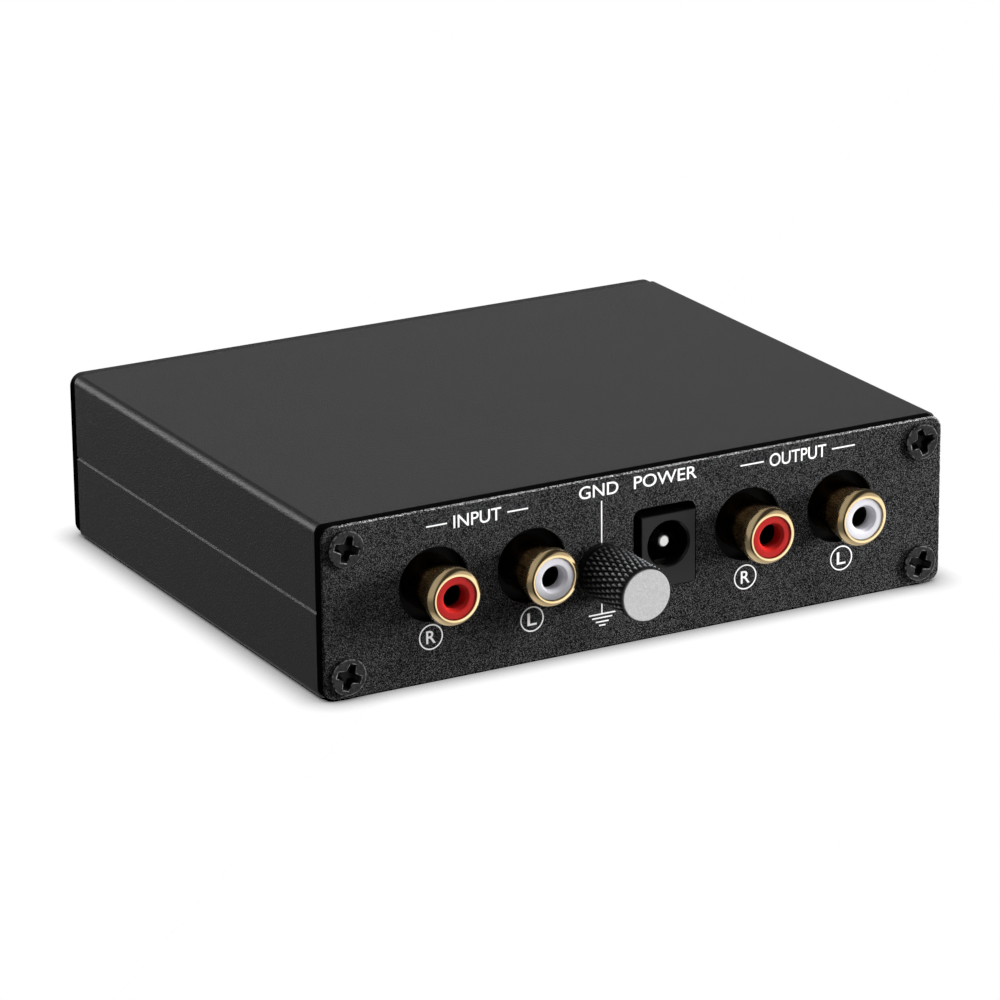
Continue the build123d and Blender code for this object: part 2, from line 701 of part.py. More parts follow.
# ---- Control panel parts
def button():
    """The round power button, with a square socket for the switch's plunger."""
    y = (FRONT_FACE + BUTTON_PROTRUSION - BUTTON_LENGTH, FRONT_FACE + BUTTON_PROTRUSION)
    cap = rod(BUTTON_RADIUS, BUTTON_X, CONTROL_Z, y)
    cap = fillet(edges_at(cap, y[1]), BUTTON_EDGE_ROUND)
    socket = PLUNGER_SIZE + 2 * PLUNGER_FIT
    depth = (y[0], y[0] + PLUNGER_SOCKET_DEPTH)
    return cap - block(around(BUTTON_X, socket), depth, around(CONTROL_Z, socket))


def switch_front():
    """The Y of the power switch's front face, just behind the pressed button."""
    button_back = FRONT_FACE + BUTTON_PROTRUSION - BUTTON_LENGTH
    return button_back - BUTTON_TRAVEL - SWITCH_STOP_GAP


def switch_plunger():
    """The square plunger from inside the power switch to the bottom of the button's socket."""
    tip = FRONT_FACE + BUTTON_PROTRUSION - BUTTON_LENGTH + PLUNGER_SOCKET_DEPTH
    y = (switch_front() - PLUNGER_IN_SWITCH, tip)
    return block(around(BUTTON_X, PLUNGER_SIZE), y, around(CONTROL_Z, PLUNGER_SIZE))


def switch_body():
    """The power switch on the board, with a well that leaves the plunger room to travel."""
    front = switch_front()
    body = block(
        around(BUTTON_X, SWITCH_WIDTH),
        (front - SWITCH_LENGTH, front),
        (BOARD_TOP, CONTROL_Z + SWITCH_WIDTH / 2),
    )
    well = PLUNGER_SIZE + 2 * PLUNGER_FIT
    depth = PLUNGER_IN_SWITCH + BUTTON_TRAVEL + PLUNGER_FIT
    body -= block(around(BUTTON_X, well), (front - depth, front), around(CONTROL_Z, well))
    for x, y in switch_leads():
        body += post(LEAD_RADIUS, x, y, (LEAD_TIP, BOARD_TOP))
    return body


def switch_leads():
    """The six leads under the power switch."""
    middle = switch_front() - SWITCH_LENGTH / 2
    step = SWITCH_LENGTH / 4
    return [(BUTTON_X + side * SWITCH_WIDTH / 4, middle + n * step) for side in (-1, 1) for n in (-1, 0, 1)]


def indicator_seat():
    """The Y of the indicator's flange front, just behind the panel."""
    return FRONT_INSIDE - PANEL_GAP


def indicator():
    """The round lens of the indicator: a flange, a barrel through the panel and a domed tip."""
    seat = indicator_seat()
    tip = FRONT_FACE + INDICATOR_PROTRUSION
    lens = rod(INDICATOR_RADIUS, INDICATOR_X, CONTROL_Z, (seat, tip))
    lens = fillet(edges_at(lens, tip), 0.8 * INDICATOR_RADIUS)
    return lens + rod(INDICATOR_FLANGE_RADIUS, INDICATOR_X, CONTROL_Z, (seat - INDICATOR_FLANGE, seat))


def indicator_leads():
    """The indicator's two leads, bent down into the board."""
    back = indicator_seat() - INDICATOR_FLANGE
    leads = []
    for x in indicator_lead_x():
        wide = around(x, INDICATOR_LEAD)
        run = block(wide, (back - INDICATOR_LEAD_REACH, back), around(CONTROL_Z, INDICATOR_LEAD))
        drop = block(wide, around(indicator_drop(), INDICATOR_LEAD), (LEAD_TIP, CONTROL_Z))
        leads.append(run + drop)
    return leads


def indicator_lead_x():
    """The X of the indicator's two leads."""
    return around(INDICATOR_X, INDICATOR_LEAD_PITCH)


def indicator_drop():
    """The Y where the indicator's leads go down."""
    return indicator_seat() - INDICATOR_FLANGE - INDICATOR_LEAD_REACH + INDICATOR_LEAD / 2


def lever_slot(y):
    """The slot that the selector's lever passes through, with round ends, between two limits on Y."""
    height = LEVER_HEIGHT + 2 * LEVER_CLEARANCE
    width = LEVER_WIDTH + SELECTOR_TRAVEL + 2 * LEVER_CLEARANCE
    slot = extrude(RectangleRounded(width, height, height / 4), y[1] - y[0])
    return Pos(SELECTOR_X, y[1], CONTROL_Z) * Rot(90, 0, 0) * slot


def selector_limits():
    """The Y of the selector's front, under its frame, and of its back."""
    front = FRONT_INSIDE - SELECTOR_BEHIND_PANEL - SELECTOR_FRAME
    return front - SELECTOR_BODY_DEPTH, front


def selector_body():
    """The selector switch's base on the board, with a channel for the slider."""
    back, front = selector_limits()
    body = block(
        around(SELECTOR_X, SELECTOR_BODY_WIDTH),
        (back, front),
        (BOARD_TOP, BOARD_TOP + SELECTOR_BODY_HEIGHT),
    )
    channel = SLIDER_WIDTH + SELECTOR_TRAVEL + 2 * SLIDER_CLEARANCE
    depth = SLIDER_DEPTH + 2 * SLIDER_CLEARANCE
    body -= block(
        around(SELECTOR_X, channel),
        (front - depth, front),
        around(CONTROL_Z, SLIDER_HEIGHT + 2 * SLIDER_CLEARANCE),
    )
    for x, y in selector_leads():
        body += post(LEAD_RADIUS, x, y, (LEAD_TIP, BOARD_TOP))
    return body


def selector_leads():
    """The six leads under the selector switch."""
    back, front = selector_limits()
    rows = ((3 * back + front) / 4, (back + 3 * front) / 4)
    return [(SELECTOR_X + n * SELECTOR_BODY_WIDTH / 4, y) for y in rows for n in (-1, 0, 1)]


def selector_frame():
    """The sheet-metal frame over the selector's top and front, with a slot for the lever."""
    back, front = selector_limits()
    wide = around(SELECTOR_X, SELECTOR_BODY_WIDTH)
    top = BOARD_TOP + SELECTOR_BODY_HEIGHT
    roof = block(wide, (back, front + SELECTOR_FRAME), (top, top + SELECTOR_FRAME))
    face = block(wide, (front, front + SELECTOR_FRAME), (BOARD_TOP, top))
    return roof + face - lever_slot((front - 1, front + SELECTOR_FRAME + 1))


def selector_lever():
    """The slider and its lever, at the end of their travel towards the case's middle."""
    back, front = selector_limits()
    x = SELECTOR_X - SELECTOR_TRAVEL / 2
    slider_front = front - SLIDER_CLEARANCE
    slider = block(
        around(x, SLIDER_WIDTH),
        (slider_front - SLIDER_DEPTH, slider_front),
        around(CONTROL_Z, SLIDER_HEIGHT),
    )
    tip = FRONT_FACE + LEVER_PROTRUSION
    lever = block(around(x, LEVER_WIDTH), (slider_front, tip), around(CONTROL_Z, LEVER_HEIGHT))
    lever = fillet(edges_at(lever, tip), LEVER_EDGE_ROUND)
    return slider + lever


# ---- Board parts
def mirrored(places):
    """The same places in the left and the right channel."""
    return [(side * x, y) for side in (-1, 1) for x, y in places]


CHIP_PLACES = mirrored([(20.0, 0.0)])
FILM_PLACES = mirrored([(x, y) for x in (31.0, 36.5, 42.0) for y in (-5.5, 5.5)])
RESISTOR_PLACES = mirrored([(x, y) for x in (20.5, 34.0) for y in (-13.5, -17.5, -21.5, 20.5, 24.5)])
COUPLING_PLACES = mirrored([(17.5, 13.5), (25.0, 13.5), (32.5, 14.0), (40.0, 14.0)])
DIODE_PLACES = [(x, y) for x in (-4.0, 8.0) for y in (-21.5, -17.5)]
RESERVOIR_PLACES = [(-4.5, -8.5), (7.5, -8.5)]
REGULATOR_PLACES = [(-4.5, 2.5), (7.5, 2.5)]
DECOUPLING_PLACES = [(-4.5, 11.0), (7.5, 11.0)]


def pair_x(x, pitch):
    """The places of two leads side by side on X."""
    return [x - pitch / 2, x + pitch / 2]


def can(radius, height, pitch, x, y):
    """A radial capacitor can standing on the board."""
    body = post(radius, x, y, (BOARD_TOP, BOARD_TOP + height))
    rim = body.edges().filter_by(GeomType.CIRCLE).sort_by(Axis.Z)[-1]
    body = fillet(rim, CAN_EDGE_ROUND)
    for lead_x in pair_x(x, pitch):
        body += post(LEAD_RADIUS, lead_x, y, (LEAD_TIP, BOARD_TOP))
    return body


def film_capacitor(x, y):
    """A box film capacitor standing on the board, its long side along Y."""
    z = (BOARD_TOP, BOARD_TOP + FILM_HEIGHT)
    body = block(around(x, FILM_WIDTH), around(y, FILM_LENGTH), z)
    body = fillet(body.edges().filter_by(Axis.Z), FILM_EDGE_ROUND)
    for lead_y in around(y, FILM_PITCH):
        body += post(LEAD_RADIUS, x, lead_y, (LEAD_TIP, BOARD_TOP))
    return body


def axial(radius, length, pitch, x, y):
    """A resistor or diode lying along X a little above the board, its leads bent down."""
    z = BOARD_TOP + AXIAL_STANDOFF + radius
    body = Pos(x, y, z) * Rot(0, 90, 0) * Cylinder(radius, length)
    body += Pos(x, y, z) * Rot(0, 90, 0) * Cylinder(LEAD_RADIUS, pitch)
    for lead_x in pair_x(x, pitch):
        body += post(LEAD_RADIUS, lead_x, y, (LEAD_TIP, z))
        body += Pos(lead_x, y, z) * Sphere(LEAD_RADIUS)
    return body


def regulator(x, y):
    """A small three-leg regulator standing on its legs, its flat towards -Y."""
    z = (BOARD_TOP + REGULATOR_STANDOFF, BOARD_TOP + REGULATOR_STANDOFF + REGULATOR_HEIGHT)
    body = post(REGULATOR_RADIUS, x, y, z)
    cut = (y - REGULATOR_RADIUS - 1, y - REGULATOR_FLAT)
    body -= block(around(x, 3 * REGULATOR_RADIUS), cut, z)
    for n in (-1, 0, 1):
        body += post(LEAD_RADIUS, x + n * REGULATOR_PITCH, y, (LEAD_TIP, z[0]))
    return body


def leg_places(x, y):
    """The places of a chip's legs, in two rows along Y."""
    rows = pair_x(x, CHIP_ROW_PITCH)
    first = y - (CHIP_LEGS_PER_ROW - 1) * CHIP_LEG_PITCH / 2
    return [(row, first + n * CHIP_LEG_PITCH) for row in rows for n in range(CHIP_LEGS_PER_ROW)]


def chip_socket(x, y):
    """A chip socket on the board, with a window in the middle and a hole for each leg."""
    z = (BOARD_TOP, BOARD_TOP + SOCKET_HEIGHT)
    body = block(around(x, SOCKET_WIDTH), around(y, SOCKET_LENGTH), z)
    body -= block(around(x, SOCKET_WINDOW), around(y, SOCKET_LENGTH - SOCKET_WINDOW), z)
    for leg_x, leg_y in leg_places(x, y):
        hole = CHIP_LEG_WIDTH + 2 * LEAD_HOLE_CLEARANCE
        depth = CHIP_LEG_IN_SOCKET + LEAD_HOLE_CLEARANCE
        body -= block(around(leg_x, hole), around(leg_y, hole), (z[1] - depth, z[1]))
        body += post(LEAD_RADIUS, leg_x, leg_y, (LEAD_TIP, BOARD_TOP))
    return body


def chip(x, y):
    """An amplifier chip in its socket, with bent legs and a notch at one end."""
    low = BOARD_TOP + SOCKET_HEIGHT + CHIP_STANDOFF
    middle = low + CHIP_HEIGHT / 2
    body = block(around(x, CHIP_WIDTH), around(y, CHIP_LENGTH), (low, low + CHIP_HEIGHT))
    body -= post(CHIP_WIDTH / 8, x, y + CHIP_LENGTH / 2, (low + CHIP_HEIGHT / 2, low + CHIP_HEIGHT))
    bottom = BOARD_TOP + SOCKET_HEIGHT - CHIP_LEG_IN_SOCKET
    for leg_x, leg_y in leg_places(x, y):
        long = around(leg_y, CHIP_LEG_WIDTH)
        reach = sorted((x, leg_x))
        body += block(reach, long, around(middle, CHIP_LEG_THICKNESS))
        body += block(around(leg_x, CHIP_LEG_THICKNESS), long, (bottom, middle + CHIP_LEG_THICKNESS / 2))
    return body


def lead_places():
    """Every round lead that goes through the board."""
    places = switch_leads() + selector_leads()
    for x, y in CHIP_PLACES:
        places += leg_places(x, y)
    for x, y in FILM_PLACES:
        places += [(x, lead_y) for lead_y in around(y, FILM_PITCH)]
    for x, y in REGULATOR_PLACES:
        places += [(x + n * REGULATOR_PITCH, y) for n in (-1, 0, 1)]
    two_lead = [
        (RESISTOR_PLACES, RESISTOR_PITCH),
        (DIODE_PLACES, DIODE_PITCH),
        (RESERVOIR_PLACES, RESERVOIR_PITCH),
        (COUPLING_PLACES, SMALL_CAN_PITCH),
        (DECOUPLING_PLACES, SMALL_CAN_PITCH),
    ]
    for spots, pitch in two_lead:
        places += [(lead_x, y) for x, y in spots for lead_x in pair_x(x, pitch)]
    return places


def tab_slots():
    """Every flat tab that goes through the board, as its limits on X and on Y."""
    tail = contact_limits()[1]
    slots = []
    for x in JACKS.values():
        slots.append((around(x, TAB_WIDTH), shell_tab_depth()))
        slots.append((around(x, TAB_WIDTH), (tail - TAB_THICKNESS, tail)))
    back = inlet_depths()[1]
    end = spring_limits()[1]
    slots.append((around(INLET_X, 2 * INLET_PIN_RADIUS), (back - TAB_THICKNESS, back)))
    slots.append((around(INLET_X, INLET_SPRING_WIDTH), (end - TAB_THICKNESS, end)))
    for x in indicator_lead_x():
        slots.append((around(x, INDICATOR_LEAD), around(indicator_drop(), INDICATOR_LEAD)))
    return slots


def circuit_board():
    """The board, with a hole for each lead and tab and a notch under the ground terminal's nut."""
    half_width = INNER_HALF_WIDTH - BOARD_SIDE_CLEARANCE
    y = (REAR_INSIDE + BOARD_END_CLEARANCE, FRONT_INSIDE - BOARD_END_CLEARANCE)
    z = (BOARD_BOTTOM, BOARD_TOP)
    board = block((-half_width, half_width), y, z)
    holes = [post(LEAD_RADIUS + LEAD_HOLE_CLEARANCE, x, lead_y, z) for x, lead_y in lead_places()]
    for x, depth in tab_slots():
        grown_x = (x[0] - TAB_CLEARANCE, x[1] + TAB_CLEARANCE)
        grown_y = (depth[0] - TAB_CLEARANCE, depth[1] + TAB_CLEARANCE)
        holes.append(block(grown_x, grown_y, z))
    notch_width = 2 * max(LUG_RADIUS, HEX_NUT_FLATS / sqrt(3)) + 2 * NOTCH_MARGIN
    notch_depth = max(LUG_THICKNESS + HEX_NUT_THICKNESS, STUD_INSIDE) + NOTCH_MARGIN
    holes.append(block(around(GROUND_X, notch_width), (REAR_INSIDE, REAR_INSIDE + notch_depth), z))
    return board - holes


def export(name, pieces):
    """Write one piece, or a group of separate pieces, to its STEP file."""
    shape = Compound(children=list(pieces)) if isinstance(pieces, list) else pieces
    export_step(shape, f"parts/{name}.step")


def main():
    """Build every piece and write it out."""
    os.makedirs("parts", exist_ok=True)
    rear_screws = [screw(x, z, turn) for (x, z), turn in zip(screw_places(), REAR_SCREW_TURNS)]
    front_screws = [at_front(screw(x, z, turn)) for (x, z), turn in zip(screw_places(), FRONT_SCREW_TURNS)]
    pieces = {
        "upper_shell": upper_shell(),
        "lower_shell": lower_shell(),
        "rear_panel": rear_panel(),
        "front_panel": front_panel(),
        "rear_panel_screws": rear_screws,
        "front_panel_screws": front_screws,
        "power_inlet_housing": inlet_housing(),
        "power_inlet_pin": inlet_pin(),
        "power_inlet_spring": inlet_spring(),
        "ground_stud": ground_stud(),
        "ground_washer": ground_washer(),
        "ground_thumb_nut": ground_thumb_nut(),
        "ground_lug": ground_lug(),
        "ground_inner_nut": ground_inner_nut(),
        "ground_wire": ground_wire(),
        "power_button": button(),
        "power_switch_plunger": switch_plunger(),
        "power_switch_body": switch_body(),
        "indicator_lens": indicator(),
        "indicator_leads": indicator_leads(),
        "selector_body": selector_body(),
        "selector_frame": selector_frame(),
        "selector_lever": selector_lever(),
        "circuit_board": circuit_board(),
        "amplifier_sockets": [chip_socket(x, y) for x, y in CHIP_PLACES],
        "amplifier_chips": [chip(x, y) for x, y in CHIP_PLACES],
        "film_capacitors": [film_capacitor(x, y) for x, y in FILM_PLACES],
        "regulators": [regulator(x, y) for x, y in REGULATOR_PLACES],
        "resistors": [
            axial(RESISTOR_RADIUS, RESISTOR_LENGTH, RESISTOR_PITCH, x, y) for x, y in RESISTOR_PLACES
        ],
        "rectifier_diodes": [
            axial(DIODE_RADIUS, DIODE_LENGTH, DIODE_PITCH, x, y) for x, y in DIODE_PLACES
        ],
        "reservoir_capacitors": [
            can(RESERVOIR_RADIUS, RESERVOIR_HEIGHT, RESERVOIR_PITCH, x, y) for x, y in RESERVOIR_PLACES
        ],
        "coupling_capacitors": [
            can(SMALL_CAN_RADIUS, COUPLING_HEIGHT, SMALL_CAN_PITCH, x, y) for x, y in COUPLING_PLACES
        ],
        "decoupling_capacitors": [
            can(SMALL_CAN_RADIUS, DECOUPLING_HEIGHT, SMALL_CAN_PITCH, x, y) for x, y in DECOUPLING_PLACES
        ],
    }
    for name, x in JACKS.items():
        pieces[f"{name}_housing"] = jack_housing(x)
        pieces[f"{name}_shell"] = jack_shell(x)
        pieces[f"{name}_insert"] = jack_insert(x)
        pieces[f"{name}_contact"] = jack_contact(x)
    for name, shape in pieces.items():
        export(name, shape)
    print(len(pieces), "nodes written")


main()
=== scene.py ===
# %% [markdown]
# # A small phono preamplifier
# A flat black box: two extruded half shells between two end panels, with gold phono jacks, a barrel
# power inlet and a long knurled ground nut on one end, and a button, a lamp and a selector on the other.
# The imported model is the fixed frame. Shapes that are right in it stay and only get a finish, and the
# pieces that need finer modelling are built here in the same places, in metres.

# %% Load the frame
import json
from math import atan2, copysign, cos, pi, radians, sin

import bmesh
import bpy
from mathutils import Matrix, Quaternion, Vector

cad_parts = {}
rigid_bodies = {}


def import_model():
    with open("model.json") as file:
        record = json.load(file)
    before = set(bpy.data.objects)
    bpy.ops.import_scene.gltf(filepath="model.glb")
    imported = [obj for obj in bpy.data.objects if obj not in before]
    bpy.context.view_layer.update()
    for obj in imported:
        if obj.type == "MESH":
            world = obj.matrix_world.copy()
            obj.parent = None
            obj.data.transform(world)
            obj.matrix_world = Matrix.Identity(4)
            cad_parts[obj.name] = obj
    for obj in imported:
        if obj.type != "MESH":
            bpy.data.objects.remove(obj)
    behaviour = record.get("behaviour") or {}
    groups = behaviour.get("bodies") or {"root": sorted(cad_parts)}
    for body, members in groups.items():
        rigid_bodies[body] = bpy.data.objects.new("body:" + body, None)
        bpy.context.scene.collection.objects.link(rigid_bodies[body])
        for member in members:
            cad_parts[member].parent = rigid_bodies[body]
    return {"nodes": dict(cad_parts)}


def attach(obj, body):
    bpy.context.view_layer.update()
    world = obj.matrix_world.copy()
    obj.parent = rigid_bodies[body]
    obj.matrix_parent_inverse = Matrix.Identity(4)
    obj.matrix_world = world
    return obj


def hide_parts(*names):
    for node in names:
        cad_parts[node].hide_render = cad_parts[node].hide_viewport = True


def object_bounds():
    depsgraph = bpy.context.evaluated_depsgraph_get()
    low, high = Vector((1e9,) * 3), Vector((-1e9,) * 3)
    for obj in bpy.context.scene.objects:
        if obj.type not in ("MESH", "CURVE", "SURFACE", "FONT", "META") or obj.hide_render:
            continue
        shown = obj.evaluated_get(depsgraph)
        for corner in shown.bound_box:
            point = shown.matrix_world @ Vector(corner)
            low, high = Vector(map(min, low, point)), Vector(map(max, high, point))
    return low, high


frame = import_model()
cad_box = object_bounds()
MM = 0.001
FULL_TURN = 2 * pi

# %% Places in the frame, in millimetres
CASE_HALF_WIDTH, CASE_HEIGHT = (round(cad_box[1][axis] / MM, 2) for axis in (0, 2))
CASE_MIDDLE_Z = CASE_HEIGHT / 2
PANEL_FACE = -42.0
PANEL_CORNER = 2.0
SCREW_X = CASE_HALF_WIDTH - 3.7
SCREW_LOW = 3.45
SCREW_HIGH = CASE_HEIGHT - SCREW_LOW
JACK_PAIR_X, JACK_PITCH, JACK_Z = 25.65, 15.65, 14.45
JACKS = {
    f"{use}_{channel}": pair_side * JACK_PAIR_X + jack_side * JACK_PITCH / 2
    for use, pair_side in (("input", -1), ("output", 1))
    for channel, jack_side in (("right", -1), ("left", 1))
}
GROUND_X, GROUND_Z = -6.5, 11.9
BUTTON_X, BUTTON_Z = -34.0, CASE_MIDDLE_Z
INLET_FACE = -42.3
BOARD_TOP, CHIP_TOP = 7.95, 14.85
print("jacks at", [round(x, 3) for x in JACKS.values()])

# %% [markdown]
# ## Camera
# A long lens from far away keeps the box's edges nearly parallel, as a product picture does. Its place
# and direction are written as azimuth, elevation and a small roll, because those are easy to read.

# %% Camera
AZIMUTH = radians(28.617)
ELEVATION = radians(18.650)
ROLL = radians(-0.581)
FOCAL_LENGTH = 182.645
CAMERA_PLACE = (-0.344816, -0.632093, 0.252000)
forward = Vector((sin(AZIMUTH) * cos(ELEVATION), cos(AZIMUTH) * cos(ELEVATION), -sin(ELEVATION)))
lens = bpy.data.cameras.new("camera")
lens.sensor_width = 36
lens.lens = FOCAL_LENGTH
lens.clip_start = 0.01
camera = bpy.data.objects.new("camera", lens)
camera.location = CAMERA_PLACE
camera.rotation_mode = "QUATERNION"
camera.rotation_quaternion = forward.to_track_quat("-Z", "Y") @ Quaternion((0, 0, 1), ROLL)
bpy.context.scene.collection.objects.link(camera)
bpy.context.scene.camera = camera
bpy.context.scene.view_settings.view_transform = "Standard"
print("camera", round(camera.location.length, 3), "m from the origin")

# %% [markdown]
# ## Sums on shader sockets
# Surface detail is arithmetic: a mask times a colour difference, one minus a mask. A small class wraps
# a socket and turns each operator into a Math node, so that such a sum can be written as a sum. Every
# other kind of node comes from one method, which takes the node's type, its settings and its inputs.
# Painted images could carry such detail too, but sums have no seams and need no other file.


# %% Field: a socket that can be used in sums
class Field:
    """A shader socket of one finish. Each operator on it adds a Math node."""

    def __init__(self, finish, socket):
        self.finish = finish
        self.socket = socket

    def maths(self, operation, *sides):
        return self.finish.node("ShaderNodeMath", {"operation": operation}, dict(enumerate(sides)))

    def __add__(self, other):
        return self.maths("ADD", self, other)

    def __radd__(self, other):
        return self.maths("ADD", other, self)

    def __sub__(self, other):
        return self.maths("SUBTRACT", self, other)

    def __rsub__(self, other):
        return self.maths("SUBTRACT", other, self)

    def __mul__(self, other):
        return self.maths("MULTIPLY", self, other)

    def __rmul__(self, other):
        return self.maths("MULTIPLY", other, self)

    def __truediv__(self, other):
        return self.maths("DIVIDE", self, other)

    def __pow__(self, other):
        return self.maths("POWER", self, other)

    def __abs__(self):
        return self.maths("ABSOLUTE", self)

    def least(self, other):
        return self.maths("MINIMUM", self, other)

    def most(self, other):
        return self.maths("MAXIMUM", self, other)

    def fraction(self):
        """What is left above the next lower whole number."""
        return self.maths("FRACT", self)

    def modulo(self, period):
        """The place within an even row of periods."""
        return self.maths("FLOORED_MODULO", self, period)

    def above(self, limit):
        return self.maths("GREATER_THAN", self, limit)

    def below(self, limit):
        return self.maths("LESS_THAN", self, limit)

    def ramp(self, start, end):
        """0 below start, 1 above end, and a straight line between."""
        inputs = {"Value": self, "From Min": start, "From Max": end}
        return self.finish.node("ShaderNodeMapRange", {"clamp": True}, inputs)


# %% Finish: a material built with fields
class Finish:
    """A material whose principled surface is fed with fields."""

    def __init__(self, name, **constants):
        self.material = bpy.data.materials.new(name)
        self.material.use_nodes = True
        self.tree = self.material.node_tree
        self.shader = self.tree.nodes["Principled BSDF"]
        for socket, value in constants.items():
            self.feed(socket.replace("_", " "), value)
        self.place = self.node("ShaderNodeTexCoord", {}, {}, "Object")
        self.x, self.y, self.z = (
            self.node("ShaderNodeSeparateXYZ", {}, {0: self.place}, axis) for axis in range(3)
        )

    def node(self, kind, settings, inputs, output=0):
        """Add a node, and return one of its outputs as a field."""
        node = self.tree.nodes.new(kind)
        for key, value in settings.items():
            setattr(node, key, value)
        for key, value in inputs.items():
            self.plug(node.inputs[key], value)
        return Field(self, node.outputs[output])

    def plug(self, socket, value):
        """Link a field to a socket, or set its value."""
        if isinstance(value, Field):
            self.tree.links.new(value.socket, socket)
        elif isinstance(value, tuple) and socket.type == "RGBA":
            socket.default_value = (*value, 1.0)
        else:
            socket.default_value = value

    def feed(self, socket, value):
        """Give one of the surface's own sockets a value or a field."""
        self.plug(self.shader.inputs[socket], value)

    def noise(self, size, detail=2.0, rough=0.5, place=None):
        """Soft random spots of about one size in metres, from 0 to 1."""
        inputs = {"Vector": place or self.place, "Scale": 1 / size, "Detail": detail, "Roughness": rough}
        return self.node("ShaderNodeTexNoise", {}, inputs)

    def cells(self, size):
        """The distance from the centres of scattered cells, as a part of their size."""
        inputs = {"Vector": self.place, "Scale": 1 / size}
        return self.node("ShaderNodeTexVoronoi", {}, inputs)

    def waves(self, coordinate, period):
        """Even waves along a coordinate, from -1 to 1."""
        return self.node("ShaderNodeMath", {"operation": "SINE"}, {0: coordinate * (FULL_TURN / period)})

    def stretched(self, x, y, z):
        """The surface's coordinates, stretched by three factors."""
        return self.node("ShaderNodeMapping", {}, {"Vector": self.place, "Scale": (x, y, z)})

    def mix(self, share, first, second):
        """A colour between two colours."""
        return self.node("ShaderNodeMix", {"data_type": "RGBA"}, {0: share, 6: first, 7: second}, 2)

    def bump(self, height, depth, strength=1.0):
        """Raise the surface by a height field times a depth in metres."""
        inputs = {"Height": height, "Distance": depth, "Strength": strength}
        self.feed("Normal", self.node("ShaderNodeBump", {}, inputs))


# %% [markdown]
# ## Floor, backdrop and lamps
# The box stands on a white sweep. A camera sees it as plain white, with a narrow dark line where the
# box meets the floor. That line is what ambient occlusion measures: how much of the sky a floor point
# near a wall can't see within a few millimetres. Other light bounces off the floor as from grey board.
# Mirrors don't see the floor: they look through it into a dim studio, as when black pieces are lit with
# dark flags round them. The studio is a level behind the box, a lower one below the horizon, one broad
# bright side and a pale board straight down. Each patch has a full angle and a wider one where it ends.

# %% Floor
OCCLUSION_REACH = 4.4 * MM
OCCLUSION_DEPTH = 1.2
FLOOR_REACH = 4.0
floor_finish = Finish("white_sweep", Base_Color=(0.40, 0.40, 0.40), Roughness=0.9)
openness = floor_finish.node(
    "ShaderNodeAmbientOcclusion", {"samples": 8}, {"Distance": OCCLUSION_REACH}, "AO"
)
seen = floor_finish.node("ShaderNodeLightPath", {}, {}, "Is Camera Ray")
mirrored = floor_finish.node("ShaderNodeLightPath", {}, {}, "Is Glossy Ray")
through = floor_finish.node("ShaderNodeLightPath", {}, {}, "Is Transmission Ray")
brightness = 1.0 - OCCLUSION_DEPTH * (1.0 - openness)
plain_white = floor_finish.node("ShaderNodeEmission", {}, {"Color": (1, 1, 1), "Strength": brightness})
as_board = Field(floor_finish, floor_finish.shader.outputs[0])
solid = floor_finish.node("ShaderNodeMixShader", {}, {0: seen.most(through), 1: as_board, 2: plain_white})
open_below = floor_finish.node("ShaderNodeBsdfTransparent", {}, {})
floor_mix = floor_finish.node("ShaderNodeMixShader", {}, {0: mirrored, 1: solid, 2: open_below})
output = floor_finish.tree.nodes["Material Output"]
floor_finish.plug(output.inputs["Surface"], floor_mix)
bm = bmesh.new()
bmesh.ops.create_grid(bm, x_segments=1, y_segments=1, size=FLOOR_REACH)
mesh = bpy.data.meshes.new("floor")
bm.to_mesh(mesh)
floor = bpy.data.objects.new("floor", mesh)
mesh.materials.append(floor_finish.material)
bpy.context.scene.collection.objects.link(floor)
print("floor", len(mesh.polygons), "face")


# %% Backdrop: white to the camera, a dim room as light, and a soft studio in mirrors
class Backdrop(Finish):
    """The world's shader, built with the same fields."""

    def __init__(self, world):
        world.use_nodes = True
        self.tree = world.node_tree
        self.shader = self.tree.nodes["Background"]
        self.direction = self.node("ShaderNodeTexCoord", {}, {}, "Generated")

    def around(self, centre, inner, outer):
        """1 within an angle of a direction, 0 outside a wider one, in degrees."""
        sides = {0: self.direction, 1: tuple(Vector(centre).normalized())}
        aligned = self.node("ShaderNodeVectorMath", {"operation": "DOT_PRODUCT"}, sides, "Value")
        return aligned.ramp(cos(radians(outer)), cos(radians(inner)))

    def ray(self, kind):
        """1 for rays of one kind."""
        return self.node("ShaderNodeLightPath", {}, {}, f"Is {kind} Ray")


AMBIENT = 0.10
KEY_LEVEL, BACK_LEVEL, LOW_LEVEL, BOARD_LEVEL = 1.25, 0.385, 0.155, 0.45
FLAG_SHARE, HIGH_FLAG_SHARE = 0.9, 0.6
UP, DOWN = (0, 0, 1), (0, 0, -1)
KEY_SIDE = (0.80, -0.60, 0.0)
BOARD_SIDE = (0.25, 0.10, -0.96)
FLAG_SIDE = (0.16, 0.83, 0.53)
world = bpy.data.worlds.new("studio")
bpy.context.scene.world = world
backdrop = Backdrop(world)
backdrop.feed("Color", (1, 1, 1))
studio = BACK_LEVEL + (LOW_LEVEL - BACK_LEVEL) * backdrop.around(DOWN, 72, 86)
studio = studio * (1 - FLAG_SHARE * backdrop.around(FLAG_SIDE, 9, 16))
studio = studio * (1 - FLAG_SHARE * backdrop.around(KEY_SIDE, 78, 93))
key = backdrop.around(KEY_SIDE, 42, 54) * (1 - HIGH_FLAG_SHARE * backdrop.around(UP, 72, 84))
studio = studio + KEY_LEVEL * key + BOARD_LEVEL * backdrop.around(BOARD_SIDE, 35, 60)
clear = backdrop.ray("Camera").most(backdrop.ray("Transmission"))
glossy = backdrop.ray("Glossy")
